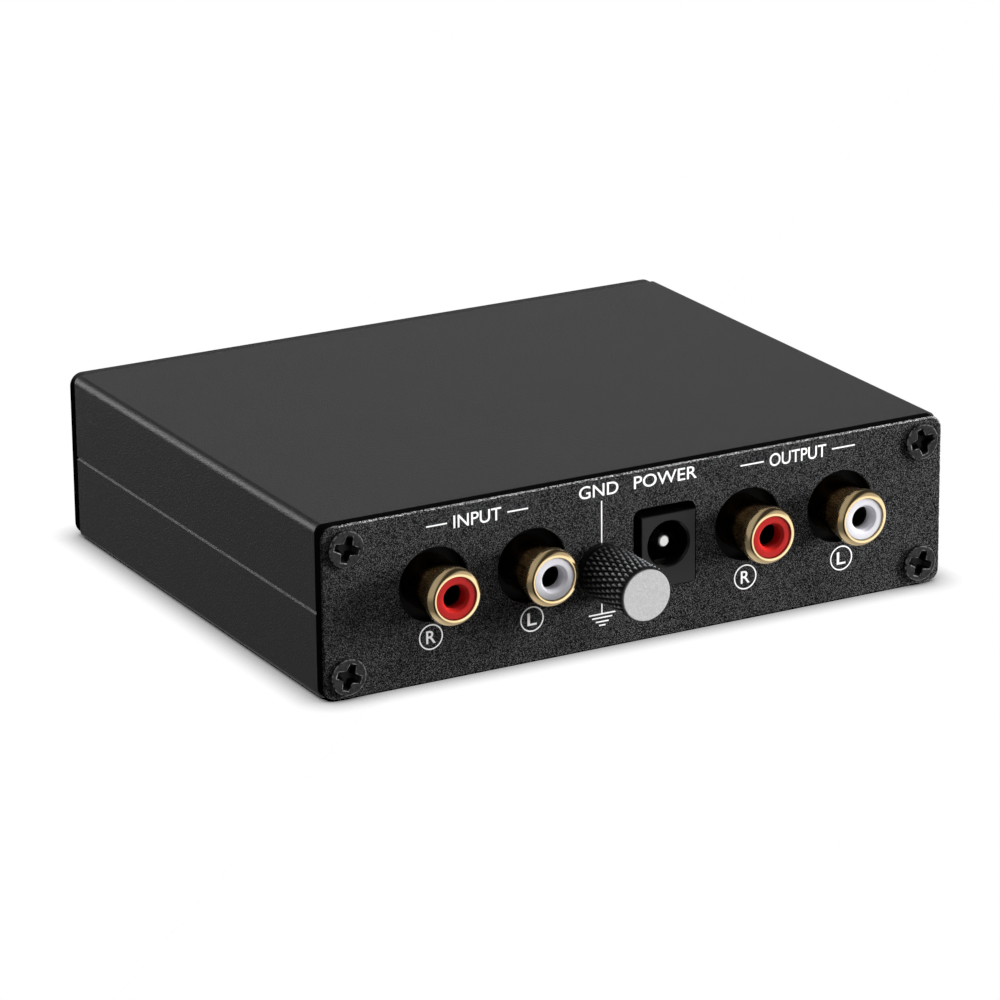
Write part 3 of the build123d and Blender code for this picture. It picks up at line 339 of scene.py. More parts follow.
backdrop.feed("Strength", clear + (1 - clear) * (glossy * studio + (1 - glossy) * AMBIENT))
print("backdrop set")


# %% Lamps: large soft boxes, of which only the one behind shows in mirrors
def soft_box(name, place, width, height, power):
    """A rectangular lamp at a place, turned to the origin."""
    light = bpy.data.lights.new(name, "AREA")
    light.shape = "RECTANGLE"
    light.size = width
    light.size_y = height
    light.energy = power
    lamp = bpy.data.objects.new(name, light)
    lamp.location = place
    lamp.rotation_mode = "QUATERNION"
    lamp.rotation_quaternion = (-Vector(place)).to_track_quat("-Z", "Y")
    bpy.context.scene.collection.objects.link(lamp)
    return lamp


for lamp in (
    soft_box("overhead", (0.40, -0.25, 0.85), 0.6, 0.6, 9.0),
    soft_box("right_front", (0.88, -0.42, 0.13), 0.4, 0.4, 23.5),
):
    lamp.visible_glossy = False
soft_box("behind", (-0.51, 0.83, 0.23), 0.30, 0.60, 2.1)
print("lamps", len(bpy.data.lights))


# %% [markdown]
# ## Black finishes
# The shells are anodised: a satin black with a fine grain. They are mostly gloss over black, so the
# roughness and the bump do the work, and the colour only shifts a little. The end panels are powder
# coated and have no gloss: their sand-like grain is pale specks in the colour. Pale specks on the upper
# and right rims are partly rubbed coat and partly a painted highlight where the light falls. The cut
# edges are painted black as shade, and the far panel's upper one a little paler as a painted sheen.

# %% Finishes of the case
anodised = Finish("satin_anodised")
clouds = anodised.noise(12 * MM, detail=4)
haze = anodised.noise(0.5 * MM, detail=2)
pores = anodised.noise(0.26 * MM, detail=2, rough=0.7)
anodised.feed("Base Color", anodised.mix(clouds, (0.005, 0.005, 0.0052), (0.008, 0.008, 0.0082)))
anodised.feed("Roughness", 0.27 + 0.05 * clouds + 0.03 * haze)
anodised.bump(pores, 0.07 * MM)

sandy = Finish("sandy_powder_coat", Specular_IOR_Level=0.0)
grain = sandy.noise(0.11 * MM, detail=2, rough=0.7)
lumps = sandy.cells(0.20 * MM)
peaks = (grain + 0.25 * (0.5 - lumps)).ramp(0.49, 0.66)
corner_x = CASE_HALF_WIDTH - PANEL_CORNER
corner_z = CASE_MIDDLE_Z - PANEL_CORNER
past_x = (abs(sandy.x) - corner_x * MM).most(0.0)
past_z = (abs(sandy.z - CASE_MIDDLE_Z * MM) - corner_z * MM).most(0.0)
from_corner = (past_x**2 + past_z**2) ** 0.5
outward = abs(sandy.y) + PANEL_FACE * MM
rim = from_corner.ramp((PANEL_CORNER - 0.28) * MM, (PANEL_CORNER - 0.20) * MM)
worn = rim * outward.ramp(-0.28 * MM, -0.20 * MM)
# Painted highlight: the rubbed rim shows only on the upper and right rims, the sides where the light
# falls.
upper = sandy.z.ramp(22 * MM, 25 * MM) * sandy.x.ramp(-50 * MM, -47 * MM)
lit_upper_or_right_rims = upper.most(sandy.x.ramp(47 * MM, 50 * MM))
coat = sandy.mix(peaks**1.5, (0.005, 0.005, 0.0055), (0.165, 0.165, 0.168))
rubbed_and_highlit_coat = sandy.mix(worn * peaks * lit_upper_or_right_rims, coat, (0.72, 0.72, 0.73))
# Painted shade: the cut edges and hole walls are painted nearly black, and the far panel's top edge paler
# as a painted sheen.
shaded_cut_edge = 1.0 - outward.ramp(-0.32 * MM, -0.20 * MM)
far_top_sheen = sandy.y.above(0) * sandy.z.ramp(24.6 * MM, 25.2 * MM)
cut_edge_shade_and_sheen = sandy.mix(far_top_sheen, (0.003, 0.003, 0.003), (0.045, 0.045, 0.045))
sandy.feed("Base Color", sandy.mix(shaded_cut_edge, rubbed_and_highlit_coat, cut_edge_shade_and_sheen))
sandy.feed("Roughness", 0.5 - 0.15 * peaks)
sandy.bump(grain + 0.3 * lumps, 0.07 * MM, 0.8)
print("case finishes ready")


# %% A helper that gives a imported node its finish
def dress(finish, *names):
    """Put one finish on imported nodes."""
    for name in names:
        for slot in frame["nodes"][name].material_slots:
            slot.material = finish.material
    print(finish.material.name, "on", ", ".join(names))


dress(anodised, "upper_shell", "lower_shell")
dress(sandy, "rear_panel", "front_panel")

# %% [markdown]
# ## Turned pieces
# Jacks, nuts, pins and buttons are turned parts: one outline spun round an axis. The outline is a few
# corner points, and rounding a corner is a bevel of that vertex, done before the spin because it is one
# vertex there and a whole ring afterwards. Every axis runs along Y, out of the panels.


# %% Mesh helpers
WELD = 0.0005 * MM


def finished(name, bm, finishes, body, sharp=35):
    """Turn a bmesh into a piece that rides on a body."""
    bmesh.ops.remove_doubles(bm, verts=bm.verts, dist=WELD)
    bmesh.ops.recalc_face_normals(bm, faces=bm.faces)
    for face in bm.faces:
        face.smooth = True
    for edge in bm.edges:
        edge.smooth = edge.calc_face_angle(0) < radians(sharp)
    mesh = bpy.data.meshes.new(name)
    bm.to_mesh(mesh)
    bm.free()
    for finish in finishes:
        mesh.materials.append(finish.material)
    piece = bpy.data.objects.new(name, mesh)
    bpy.context.scene.collection.objects.link(piece)
    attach(piece, body)
    print(name, len(mesh.polygons), "faces")
    return piece


def outline(points, rounding, closed):
    """A wire of (radius, y) corners in millimetres, some of them rounded."""
    bm = bmesh.new()
    corners = [bm.verts.new((r * MM, y * MM, 0)) for r, y in points]
    ends = corners[1:] + corners[:1] if closed else corners[1:]
    for start, end in zip(corners, ends):
        bm.edges.new((start, end))
    for number, radius in rounding.items():
        bmesh.ops.bevel(
            bm,
            geom=[corners[number]],
            offset=radius * MM,
            offset_type="OFFSET",
            segments=6,
            profile=0.5,
            affect="VERTICES",
            material=-1,
        )
    return bm


def turned(points, rounding, closed=True, steps=96):
    """A body turned about the Y axis from its outline."""
    bm = outline(points, rounding, closed)
    bmesh.ops.spin(
        bm,
        geom=bm.verts[:] + bm.edges[:],
        axis=(0, 1, 0),
        cent=(0, 0, 0),
        angle=FULL_TURN,
        steps=steps,
        use_merge=True,
        use_duplicate=False,
    )
    bmesh.ops.remove_doubles(bm, verts=bm.verts, dist=WELD)
    return bm


def add_box(bm, low, high):
    """Add a box between two corners in millimetres."""
    size = [(b - a) * MM for a, b in zip(low, high)]
    centre = [(a + b) / 2 * MM for a, b in zip(low, high)]
    place = Matrix.Translation(centre) @ Matrix.Diagonal((*size, 1))
    return bmesh.ops.create_cube(bm, size=1, matrix=place)["verts"]


def add_copy(bm, source, matrix):
    """Add a moved copy of another bmesh, and free it."""
    source.transform(matrix)
    mesh = bpy.data.meshes.new("copy")
    source.to_mesh(mesh)
    source.free()
    bm.from_mesh(mesh)
    bpy.data.meshes.remove(mesh)


def shift(bm, x, y, z):
    """Move a whole bmesh by millimetres."""
    bmesh.ops.translate(bm, verts=bm.verts, vec=(x * MM, y * MM, z * MM))


# %% [markdown]
# ## Phono jacks
# A jack is a thin gold-plated barrel with a rounded rim, round a coloured insulator whose bore widens a
# little at its lip. The centre contact is a tube deeper in that bore. Gold is a metal with a warm colour
# and little roughness. Handling leaves it a little hazy, so the roughness varies. The barrel behind the
# rim and the rim's side are painted a deeper tone, a painted shade for the black panel they mirror. The
# imported jacks have simpler rims and mouths, and a close view shows those first, so both pieces are
# turned again from finer outlines.

# %% Jack finishes
gold = Finish("gold_plating", Metallic=1.0)
smudge = gold.noise(1.6 * MM, detail=3)
rim_gold = gold.mix(smudge, (0.84, 0.60, 0.29), (0.93, 0.75, 0.46))
# Painted shade: the barrel and the rim's side darken towards the panel, standing in for the dark panel
# they mirror.
painted_barrel_shade = gold.y.ramp(-48.0 * MM, -46.6 * MM)
gold.feed("Base Color", gold.mix(painted_barrel_shade, rim_gold, (0.62, 0.37, 0.13)))
gold.feed("Roughness", 0.12 + 0.08 * smudge)
gold.bump(gold.noise(1.2 * MM), 0.002 * MM, 0.3)


def pebble(finish):
    """The fine bump of a moulded surface."""
    finish.bump(finish.noise(0.12 * MM), 0.004 * MM, 0.25)


def flow_marks(finish, rough):
    """Faint flow marks in a moulded surface's gloss, over its fine bump."""
    flow = finish.noise(1.2 * MM, detail=3)
    finish.feed("Roughness", rough + 0.10 * flow)
    pebble(finish)
    return flow


def moulded(name, low, high, rough):
    """A moulded plastic whose flow marks also run from a low colour to a high one."""
    finish = Finish(name)
    finish.feed("Base Color", finish.mix(flow_marks(finish, rough), low, high))
    return finish


red = moulded("red_insulator", (0.38, 0.012, 0.011), (0.45, 0.017, 0.015), 0.40)
white = moulded("white_insulator", (0.62, 0.61, 0.65), (0.68, 0.67, 0.71), 0.35)
for insulator in (red, white):
    insulator.feed("Specular IOR Level", 0.2)
    insulator.feed("Subsurface Weight", 0.5)
    insulator.feed("Subsurface Scale", 0.8 * MM)
white.feed("Subsurface Radius", (1.0, 1.0, 1.0))
tin = Finish("tin_plating", Metallic=1.0)
dull = tin.noise(0.8 * MM, detail=4)
tin.feed("Base Color", tin.mix(dull, (0.66, 0.66, 0.65), (0.80, 0.80, 0.79)))
tin.feed("Roughness", 0.25 + 0.25 * dull)
tin.bump(dull, 0.004 * MM, 0.3)
# Painted shade: the contacts deep in the bores and the inlet's leaf spring are painted nearly black for
# the shade they lie in.
shade_dark_contact_metal = Finish("contact_metal_darkened_as_shade", Metallic=1.0, Roughness=0.45)
dark_mottle = shade_dark_contact_metal.noise(0.5 * MM, detail=4)
shade_dark_contact_metal.feed("Base Color", shade_dark_contact_metal.mix(dark_mottle, (0.030, 0.028, 0.025), (0.075, 0.070, 0.060)))
shade_dark_contact_metal.bump(dark_mottle, 0.004 * MM, 0.3)
print(len(bpy.data.materials), "finishes so far")


# %% Jack shapes
BARREL_RADIUS, BARREL_BORE, BARREL_END = 4.0, 3.15, -36.7
RIM_RADIUS, RIM_FACE, RIM_END = 4.25, -48.7, -46.8
TAB_HALF_WIDTH, TAB_THICKNESS, TAB_LOW = 0.6, 0.5, -9.0
INSULATOR_RADIUS, INSULATOR_FACE, INSULATOR_END = 3.1, -48.5, -31.7
BORE_RADIUS, CONTACT_ROOM, CONTACT_START = 1.75, 2.0, -46.5


def jack_shell(x):
    """The gold barrel with its rim and the tab that goes down through the board."""
    face = [(BARREL_BORE, RIM_FACE), (3.50, RIM_FACE), (3.88, -48.46), (4.20, -48.02)]
    rim = [(RIM_RADIUS, -47.75), (RIM_RADIUS, RIM_END)]
    barrel = [(BARREL_RADIUS, RIM_END), (BARREL_RADIUS, BARREL_END), (BARREL_BORE, BARREL_END)]
    bm = turned(face + rim + barrel, {0: 0.10, 1: 0.20, 2: 0.22, 3: 0.20, 5: 0.22, 6: 0.02})
    low = (-TAB_HALF_WIDTH, BARREL_END - TAB_THICKNESS, TAB_LOW)
    add_box(bm, low, (TAB_HALF_WIDTH, BARREL_END, -3.35))
    shift(bm, x, 0, JACK_Z)
    return bm


def jack_insert(x):
    """The coloured insulator, whose bore widens a little at its lip."""
    lip = [(BORE_RADIUS, -48.0), (1.96, -48.22), (2.04, INSULATOR_FACE)]
    outside = [(INSULATOR_RADIUS, INSULATOR_FACE), (INSULATOR_RADIUS, INSULATOR_END)]
    inside = [(CONTACT_ROOM, INSULATOR_END), (CONTACT_ROOM, CONTACT_START)]
    stop = [(BORE_RADIUS - 0.05, CONTACT_START)]
    bm = turned(lip + outside + inside + stop, {0: 0.10, 1: 0.10, 2: 0.16, 3: 0.06})
    shift(bm, x, 0, JACK_Z)
    return bm


for name, x in JACKS.items():
    piece = finished(f"{name}_gold_barrel", jack_shell(x), [gold], "case")
    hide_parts(f"{name}_shell")
    colour, slot = (red, "insulator_red") if "right" in name else (white, "insulator_white")
    piece = finished(f"{name}_insulator", jack_insert(x), [colour], "case")
    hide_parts(f"{name}_insert")
    dress(shade_dark_contact_metal, f"{name}_contact")

# %% [markdown]
# ## Black mouldings
# The housings behind the panel and the switch bodies are matte black plastic. The power inlet's flat
# face is matte too, and the rest of it glossier, and painted darker as shade in its bore and round its
# sides. Their imported shapes are right, so they only get finishes. Where one node needs two looks, a
# mask picks the part by its place in the frame, because that leaves the mesh as it is.

# %% Mouldings
housing_plastic = moulded("jack_housing_moulding", (0.003, 0.003, 0.003), (0.006, 0.006, 0.006), 0.55)
housing_plastic.feed("Specular IOR Level", 0.1)
black_plastic = moulded("black_moulding", (0.022, 0.022, 0.024), (0.032, 0.032, 0.034), 0.42)
inlet_plastic = Finish("inlet_moulding", Specular_IOR_Level=0.3)
# Painted shade: all but the flat face, the bore above all, is painted darker.
flat_face = inlet_plastic.y.below((INLET_FACE + 0.02) * MM)
inlet_colour_and_bore_shade = inlet_plastic.mix(flat_face, (0.003, 0.003, 0.003), (0.008, 0.008, 0.008))
inlet_plastic.feed("Base Color", inlet_colour_and_bore_shade)
inlet_plastic.feed("Roughness", 0.15 + 0.35 * flat_face)
pebble(inlet_plastic)
dress(housing_plastic, *(f"{name}_housing" for name in JACKS))
dress(black_plastic, "power_switch_body", "power_switch_plunger", "selector_body")
dress(inlet_plastic, "power_inlet_housing")
dress(tin, "power_inlet_pin")
dress(shade_dark_contact_metal, "power_inlet_spring")

# %% [markdown]
# ## Panel screws
# A cross recess could be cut with a boolean, but that leaves long thin faces round it which shade badly.
# Here it starts as a grid of three by three faces. The grid's rim is bridged to the top ring of the
# turned head, and its five middle faces are pushed in and drawn together, which gives four wings that
# narrow towards the bottom. The recess's edge is bevelled, and that narrow face and the head's rim show
# pale worn steel, which is partly wear and partly a painted glint. The recess is painted near black as
# shade. Each screw stopped at its own angle when it was tightened.

# %% Screw finish
HEAD_FACE, HEAD_RADIUS = -42.65, 2.7
screw_black = Finish("blackened_steel", Metallic=0.8)
wear = screw_black.noise(0.5 * MM, detail=4)
across = abs(screw_black.x) - SCREW_X * MM
upward = abs(screw_black.z - CASE_MIDDLE_Z * MM) - (SCREW_HIGH - CASE_MIDDLE_Z) * MM
from_axis = (across**2 + upward**2) ** 0.5
depth = -HEAD_FACE * MM - abs(screw_black.y)
# Partly wear, partly a painted glint: the outer rim of each head is pale bare steel.
outer_rim = from_axis.ramp((HEAD_RADIUS - 0.20) * MM, (HEAD_RADIUS - 0.12) * MM)
rubbed_and_glinting_rim = outer_rim * depth.ramp(0.35 * MM, 0.15 * MM) * wear.ramp(0.4, 0.6)
head_steel = screw_black.mix(wear.ramp(0.35, 0.7), (0.012, 0.012, 0.0125), (0.034, 0.034, 0.034))
head_steel = screw_black.mix(rubbed_and_glinting_rim, head_steel, (0.30, 0.30, 0.30))
# Painted shade: the recess and the side of the head's rim are painted near black.
painted_recess_shade = depth.ramp(0.15 * MM, 0.30 * MM)
screw_black.feed("Base Color", screw_black.mix(painted_recess_shade, head_steel, (0.004, 0.004, 0.004)))
screw_black.feed("Roughness", 0.25 + 0.2 * wear)
screw_black.bump(screw_black.noise(0.25 * MM), 0.02 * MM, 0.5)
# Partly wear, partly a painted glint: pale chips of bare steel on the recess's bevel.
worn_and_glinting_steel = Finish("worn_and_glinting_recess_edge", Metallic=0.9)
chipped = worn_and_glinting_steel.noise(0.6 * MM, detail=3)
bright = chipped.ramp(0.42, 0.58)
worn_and_glinting_steel.feed("Base Color", worn_and_glinting_steel.mix(bright, (0.02, 0.02, 0.02), (0.55, 0.55, 0.56)))
worn_and_glinting_steel.feed("Roughness", 0.25 + 0.2 * chipped)
print("screw finishes:", screw_black.material.name, "and", worn_and_glinting_steel.material.name)

# %% Screws
RECESS_LEVELS = (-2.0, -0.50, 0.50, 2.0)
RECESS_MIDDLE, RECESS_CORNER = 0.74, 1.5
WING_DEPTH, MIDDLE_DEPTH, RECESS_TAPER = 0.95, 1.3, 0.6
RUBBED_EDGE = 0.07
HEAD_LAND, SHANK_RADIUS, SCREW_LENGTH, END_CHAMFER = 0.4, 1.5, 9.7, 0.5
RING_RADIUS = 2.45


def recessed_grid(bm):
    """Lay three by three faces in the head's face. Return them, and the five that make the cross."""
    turn = Matrix.Translation((0, HEAD_FACE * MM, 0)) @ Matrix.Rotation(radians(90), 4, "X")
    grid = bmesh.ops.create_grid(bm, x_segments=3, y_segments=3, size=1.5, matrix=turn)["verts"]
    for vert in grid:
        column, row = (round(value + 1.5) for value in (vert.co.x, vert.co.z))
        x, z = RECESS_LEVELS[column], RECESS_LEVELS[row]
        if abs(x) == abs(z):
            corner = RECESS_CORNER if abs(x) == RECESS_LEVELS[3] else RECESS_MIDDLE
            x, z = copysign(corner, x), copysign(corner, z)
        vert.co.x, vert.co.z = x * MM, z * MM
    faces = list(dict.fromkeys(face for vert in grid for face in vert.link_faces))
    cross = [face for face in faces if min(abs(v) for v in face.calc_center_median().xz) < 0.1 * MM]
    return faces, cross


def screw():
    """One countersunk screw with a cross recess, its head towards -Y."""
    land = HEAD_FACE + HEAD_LAND
    cone = land + HEAD_RADIUS - SHANK_RADIUS
    tip = HEAD_FACE + SCREW_LENGTH
    head = [(RING_RADIUS, HEAD_FACE), (HEAD_RADIUS, HEAD_FACE), (HEAD_RADIUS, land), (SHANK_RADIUS, cone)]
    shank = [(SHANK_RADIUS, tip - END_CHAMFER), (SHANK_RADIUS - END_CHAMFER, tip), (0, tip)]
    bm = turned(head + shank, {1: 0.22}, closed=False, steps=48)
    ring = [edge for edge in bm.edges if edge.is_boundary]
    faces, cross = recessed_grid(bm)
    rim = [edge for face in faces for edge in face.edges if edge.is_boundary]
    bmesh.ops.bridge_loops(bm, edges=rim + ring)
    grown = bmesh.ops.extrude_face_region(bm, geom=cross)["geom"]
    for vert in (item for item in grown if isinstance(item, bmesh.types.BMVert)):
        on_wing = max(abs(vert.co.x), abs(vert.co.z)) > 1 * MM
        vert.co.y += (WING_DEPTH if on_wing else MIDDLE_DEPTH) * MM
        vert.co.x, vert.co.z = vert.co.x * RECESS_TAPER, vert.co.z * RECESS_TAPER
    bmesh.ops.delete(bm, geom=[face for face in cross if face.is_valid], context="FACES")
    bm.normal_update()
    brink = []
    for edge in bm.edges:
        level = all(abs(vert.co.y - HEAD_FACE * MM) < 0.001 * MM for vert in edge.verts)
        inside = all(vert.co.xz.length < (RECESS_LEVELS[3] + 0.3) * MM for vert in edge.verts)
        if level and inside and min(abs(face.normal.y) for face in edge.link_faces) < 0.9:
            brink.append(edge)
    bmesh.ops.bevel(
        bm,
        geom=brink,
        offset=RUBBED_EDGE * MM,
        offset_type="OFFSET",
        segments=1,
        profile=0.5,
        affect="EDGES",
        material=1,
    )
    return bm


def panel_screws(name, node, turns, half_turn):
    """The four screws of one panel: low left, low right, high left, high right."""
    bm = bmesh.new()
    places = [(x, z) for z in (SCREW_LOW, SCREW_HIGH) for x in (-SCREW_X, SCREW_X)]
    panel = Matrix.Rotation(pi, 4, "Z") if half_turn else Matrix.Identity(4)
    for (x, z), turn in zip(places, turns):
        spot = Matrix.Translation((x * MM, 0, z * MM)) @ Matrix.Rotation(radians(turn), 4, "Y")
        add_copy(bm, screw(), panel @ spot)
    piece = finished(name, bm, [screw_black, worn_and_glinting_steel], "case", sharp=25)
    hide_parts(node)


panel_screws("jack_panel_screws", "rear_panel_screws", (20, 20, 17, -15), half_turn=False)
panel_screws("control_panel_screws", "front_panel_screws", (5, -20, 33, 12), half_turn=True)

# %% [markdown]
# ## Ground terminal
# The thumb nut's knurl is two sets of crossing grooves. A bump would leave the nut's outline smooth, so
# the diamonds are real faces. On a turned tube with two columns for each diamond, every second corner is
# where grooves cross and the others are the diamonds' tips. Moving the tips out and cutting each face
# along its groove gives exact four-sided pyramids. The same lattice of columns and rows, worked out in
# the shader, finds the front half of each pyramid, whose tip is painted pale: partly worn bare, and
# partly a painted highlight where light from the front falls.

# %% Terminal finishes
NUT_COLUMNS = 30
HALF_COLUMN = FULL_TURN / (2 * NUT_COLUMNS)
TIP_RADIUS, GROOVE_RADIUS = 4.2, 3.86
KNURL_START, KNURL_ROW, KNURL_ROWS = -54.45, 1.33, 8
KNURL_TURN = radians(2.0)
nut_black = Finish("black_knurl", Roughness=0.38, Specular_IOR_Level=0.3)
rub = nut_black.noise(0.7 * MM, detail=4)
nut_x, nut_z = nut_black.x - GROUND_X * MM, nut_black.z - GROUND_Z * MM
column = (nut_z.maths("ARCTAN2", nut_z, nut_x) + KNURL_TURN) / HALF_COLUMN
row = (nut_black.y - KNURL_START * MM) / (KNURL_ROW * MM)
along = ((column + row) / 2).fraction()
against = ((column - row) / 2).fraction()
# Painted highlight: only the half facing the front, where the light falls, gets the pale tip.
lit_front_half = along.below(against)
from_axis = (nut_x**2 + nut_z**2) ** 0.5
on_knurl = nut_black.y.above((KNURL_START + 0.05) * MM)
worn_part = nut_black.y.ramp(-43 * MM, -52 * MM) * on_knurl * rub.ramp(0.2, 0.5)
near_tip = from_axis.ramp((GROOVE_RADIUS + 0.07) * MM, (TIP_RADIUS - 0.10) * MM)
worn_and_lit_tips = lit_front_half * near_tip * worn_part
nut_black.feed("Base Color", nut_black.mix(worn_and_lit_tips, (0.006, 0.006, 0.0065), (0.50, 0.52, 0.54)))
nut_black.bump(nut_black.noise(0.12 * MM, detail=3), 0.01 * MM, 0.5)
bare_end = Finish("bare_nut_end", Metallic=0.75)
mottle = bare_end.noise(0.2 * MM, detail=5, rough=0.7)
pale = mottle.ramp(0.35, 0.65)
bare_end.feed("Base Color", bare_end.mix(pale, (0.52, 0.52, 0.53), (0.72, 0.72, 0.725)))
bare_end.feed("Roughness", 0.45 + 0.2 * mottle)
bare_end.bump(mottle, 0.01 * MM, 0.5)
brass = Finish("machined_brass", Metallic=1.0)
stain = brass.noise(0.9 * MM, detail=4)
brass.feed("Base Color", brass.mix(stain, (0.55, 0.42, 0.18), (0.72, 0.58, 0.30)))
brass.feed("Roughness", 0.28 + 0.2 * stain)
brass.bump(brass.noise(0.2 * MM, place=brass.stretched(1, 6, 1)), 0.006 * MM, 0.4)
dress(nut_black, "ground_washer")
dress(brass, "ground_stud", "ground_inner_nut")
dress(tin, "ground_lug", "indicator_leads", "selector_frame")
green_wire = moulded("green_wire_jacket", (0.03, 0.22, 0.05), (0.05, 0.28, 0.07), 0.45)
dress(green_wire, "ground_wire")


# %% Thumb nut
NUT_END, NUT_END_RADIUS, END_LEDGE = -54.7, 3.80, -54.6
NECK_RADIUS, NECK_START, NUT_SEAT = 3.75, -43.3, -42.8
NUT_BORE, NUT_BORE_END = 2.05, -52.5


def thumb_nut():
    """The blind nut: a bore, a plain neck at its seat, the knurl, and a flat end face."""
    end = [(0, NUT_END), (NUT_END_RADIUS - 0.10, NUT_END), (NUT_END_RADIUS - 0.04, NUT_END + 0.04)]
    ledge = [(NUT_END_RADIUS, END_LEDGE), (NUT_END_RADIUS + 0.2, END_LEDGE)]
    knurl = [(GROOVE_RADIUS, KNURL_START + row * KNURL_ROW) for row in range(KNURL_ROWS + 1)]
    neck = [(NECK_RADIUS, NECK_START), (NECK_RADIUS, NUT_SEAT - 0.15), (NECK_RADIUS - 0.15, NUT_SEAT)]
    bore = [(NUT_BORE, NUT_SEAT), (NUT_BORE, NUT_BORE_END), (0, NUT_BORE_END)]
    bm = turned(end + ledge + knurl + neck + bore, {}, closed=False, steps=2 * NUT_COLUMNS)
    crossings = []
    for vert in bm.verts:
        row = (vert.co.y / MM - KNURL_START) / KNURL_ROW
        on_row = abs(row - round(row)) < 0.01 and 0 <= round(row) <= KNURL_ROWS
        if not on_row or vert.co.xz.length < NUT_END_RADIUS * MM:
            continue
        column = round(atan2(vert.co.z, vert.co.x) / HALF_COLUMN)
        if (column + round(row)) % 2:
            vert.co.xz = vert.co.xz.normalized() * TIP_RADIUS * MM
        else:
            crossings.append(vert)
    bmesh.ops.connect_verts(bm, verts=crossings)
    for face in bm.faces:
        centre = face.calc_center_median()
        on_end = centre.y < (END_LEDGE + 0.01) * MM and centre.xz.length < (NUT_END_RADIUS + 0.02) * MM
        face.material_index = 1 if on_end else 0
    bmesh.ops.rotate(bm, verts=bm.verts, matrix=Matrix.Rotation(KNURL_TURN, 3, "Y"))
    shift(bm, GROUND_X, 0, GROUND_Z)
    return bm


piece = finished("knurled_thumb_nut", thumb_nut(), [nut_black, bare_end], "thumb_nut", sharp=12)
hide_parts("ground_thumb_nut")

# %% [markdown]
# ## Printed legends
# The legends are generic words and marks: what each socket is for, left and right, and an earth mark.
# They are printed in white ink, so each is a very thin raised shape on the panel's face, which is easier
# to place than paint in a shader and has sharper edges. Words are text turned into meshes and then
# stretched to a stated width and height. The other marks are thin boxes and flat rings.

# %% Ink
ink = Finish("white_ink", Roughness=0.6)
patchy = ink.noise(0.25 * MM, detail=3)
ink.feed("Base Color", ink.mix(patchy.ramp(0.2, 0.5), (0.80, 0.80, 0.80), (0.96, 0.96, 0.96)))
ink.bump(patchy, 0.004 * MM, 0.4)
INK_HEIGHT = 0.02
LETTER_EXTRUSION = 0.01
CIRCLE_RADIUS, CIRCLE_WIDTH = 1.8, 0.2
LETTER_WIDTH, LETTER_HEIGHT, LETTER_STROKE = 1.5, 1.9, 0.01
print(ink.material.name, "raised by", INK_HEIGHT, "mm")


class Print:
    """White print on the face of the jack panel, or turned half round for the control panel."""

    def __init__(self):
        self.bm = bmesh.new()

    def word(self, text, x, z, width, height, stroke):
        """A word centred on a place, stretched to a width and a height in millimetres.

        The stroke is how far the letters' outlines grow before that, when the text's own size is 1.
        """
        curve = bpy.data.curves.new(text, "FONT")
        curve.body = text
        curve.offset = stroke
        curve.extrude = LETTER_EXTRUSION
        word = bpy.data.objects.new(text, curve)
        mesh = bpy.data.meshes.new_from_object(word)
        letters = bmesh.new()
        letters.from_mesh(mesh)
        lows, highs = ([pick(v.co[n] for v in letters.verts) for n in range(3)] for pick in (min, max))
        sizes = (width, height, INK_HEIGHT)
        scale = [size * MM / (high - low) for size, low, high in zip(sizes, lows, highs)]
        centre = Vector([(low + high) / 2 for low, high in zip(lows, highs)])
        place = Matrix.Translation((x * MM, (PANEL_FACE - INK_HEIGHT / 2) * MM, z * MM))
        upright = Matrix.Rotation(radians(90), 4, "X")
        fit = place @ upright @ Matrix.Diagonal((*scale, 1)) @ Matrix.Translation(-centre)
        add_copy(self.bm, letters, fit)
        for data in (word, curve, mesh):
            bpy.data.batch_remove([data])

    def bar(self, x, z, width, height):
        """A thin straight line, given by its centre and size."""
        low = (x - width / 2, PANEL_FACE - INK_HEIGHT, z - height / 2)
        add_box(self.bm, low, (x + width / 2, PANEL_FACE, z + height / 2))

    def ring(self, x, z, radius, width):
        """A thin circle round a letter."""
        inner, outer, top = radius - width / 2, radius + width / 2, PANEL_FACE - INK_HEIGHT
        points = [(inner, PANEL_FACE), (outer, PANEL_FACE), (outer, top), (inner, top)]
        circle = turned(points, {}, steps=48)
        add_copy(self.bm, circle, Matrix.Translation((x * MM, 0, z * MM)))

    def channel(self, letter, x, z):
        """A circled letter."""
        self.ring(x, z, CIRCLE_RADIUS, CIRCLE_WIDTH)
        self.word(letter, x, z, LETTER_WIDTH, LETTER_HEIGHT, LETTER_STROKE)

    def laid(self, name, half_turn):
        """Finish the print as one piece on its panel."""
        if half_turn:
            self.bm.transform(Matrix.Rotation(pi, 4, "Z"))
        piece = finished(name, self.bm, [ink], "case")


# %% Legends of the jack panel
LINE_WIDTH, STEM_WIDTH, WORD_GAP = 0.22, 0.2, 1.0
WORD_STROKE = 0.006
jack_print = Print()
for word, x, z, width, height, reach in (
    ("INPUT", -26.5, 23.15, 7.6, 1.9, 16.2),
    ("OUTPUT", 26.2, 23.55, 9.6, 1.95, 19.4),
):
    line = (reach - width) / 2 - WORD_GAP
    jack_print.word(word, x, z, width, height, WORD_STROKE)
    for side in (-1, 1):
        jack_print.bar(x + side * (reach - line) / 2, z, line, LINE_WIDTH)
jack_print.word("GND", -6.95, 23.85, 6.4, 1.9, WORD_STROKE)
jack_print.word("POWER", 4.0, 23.95, 10.4, 1.9, WORD_STROKE)
jack_print.bar(GROUND_X, 19.05, STEM_WIDTH, 6.3)
jack_print.bar(GROUND_X, 6.15, STEM_WIDTH, 1.7)
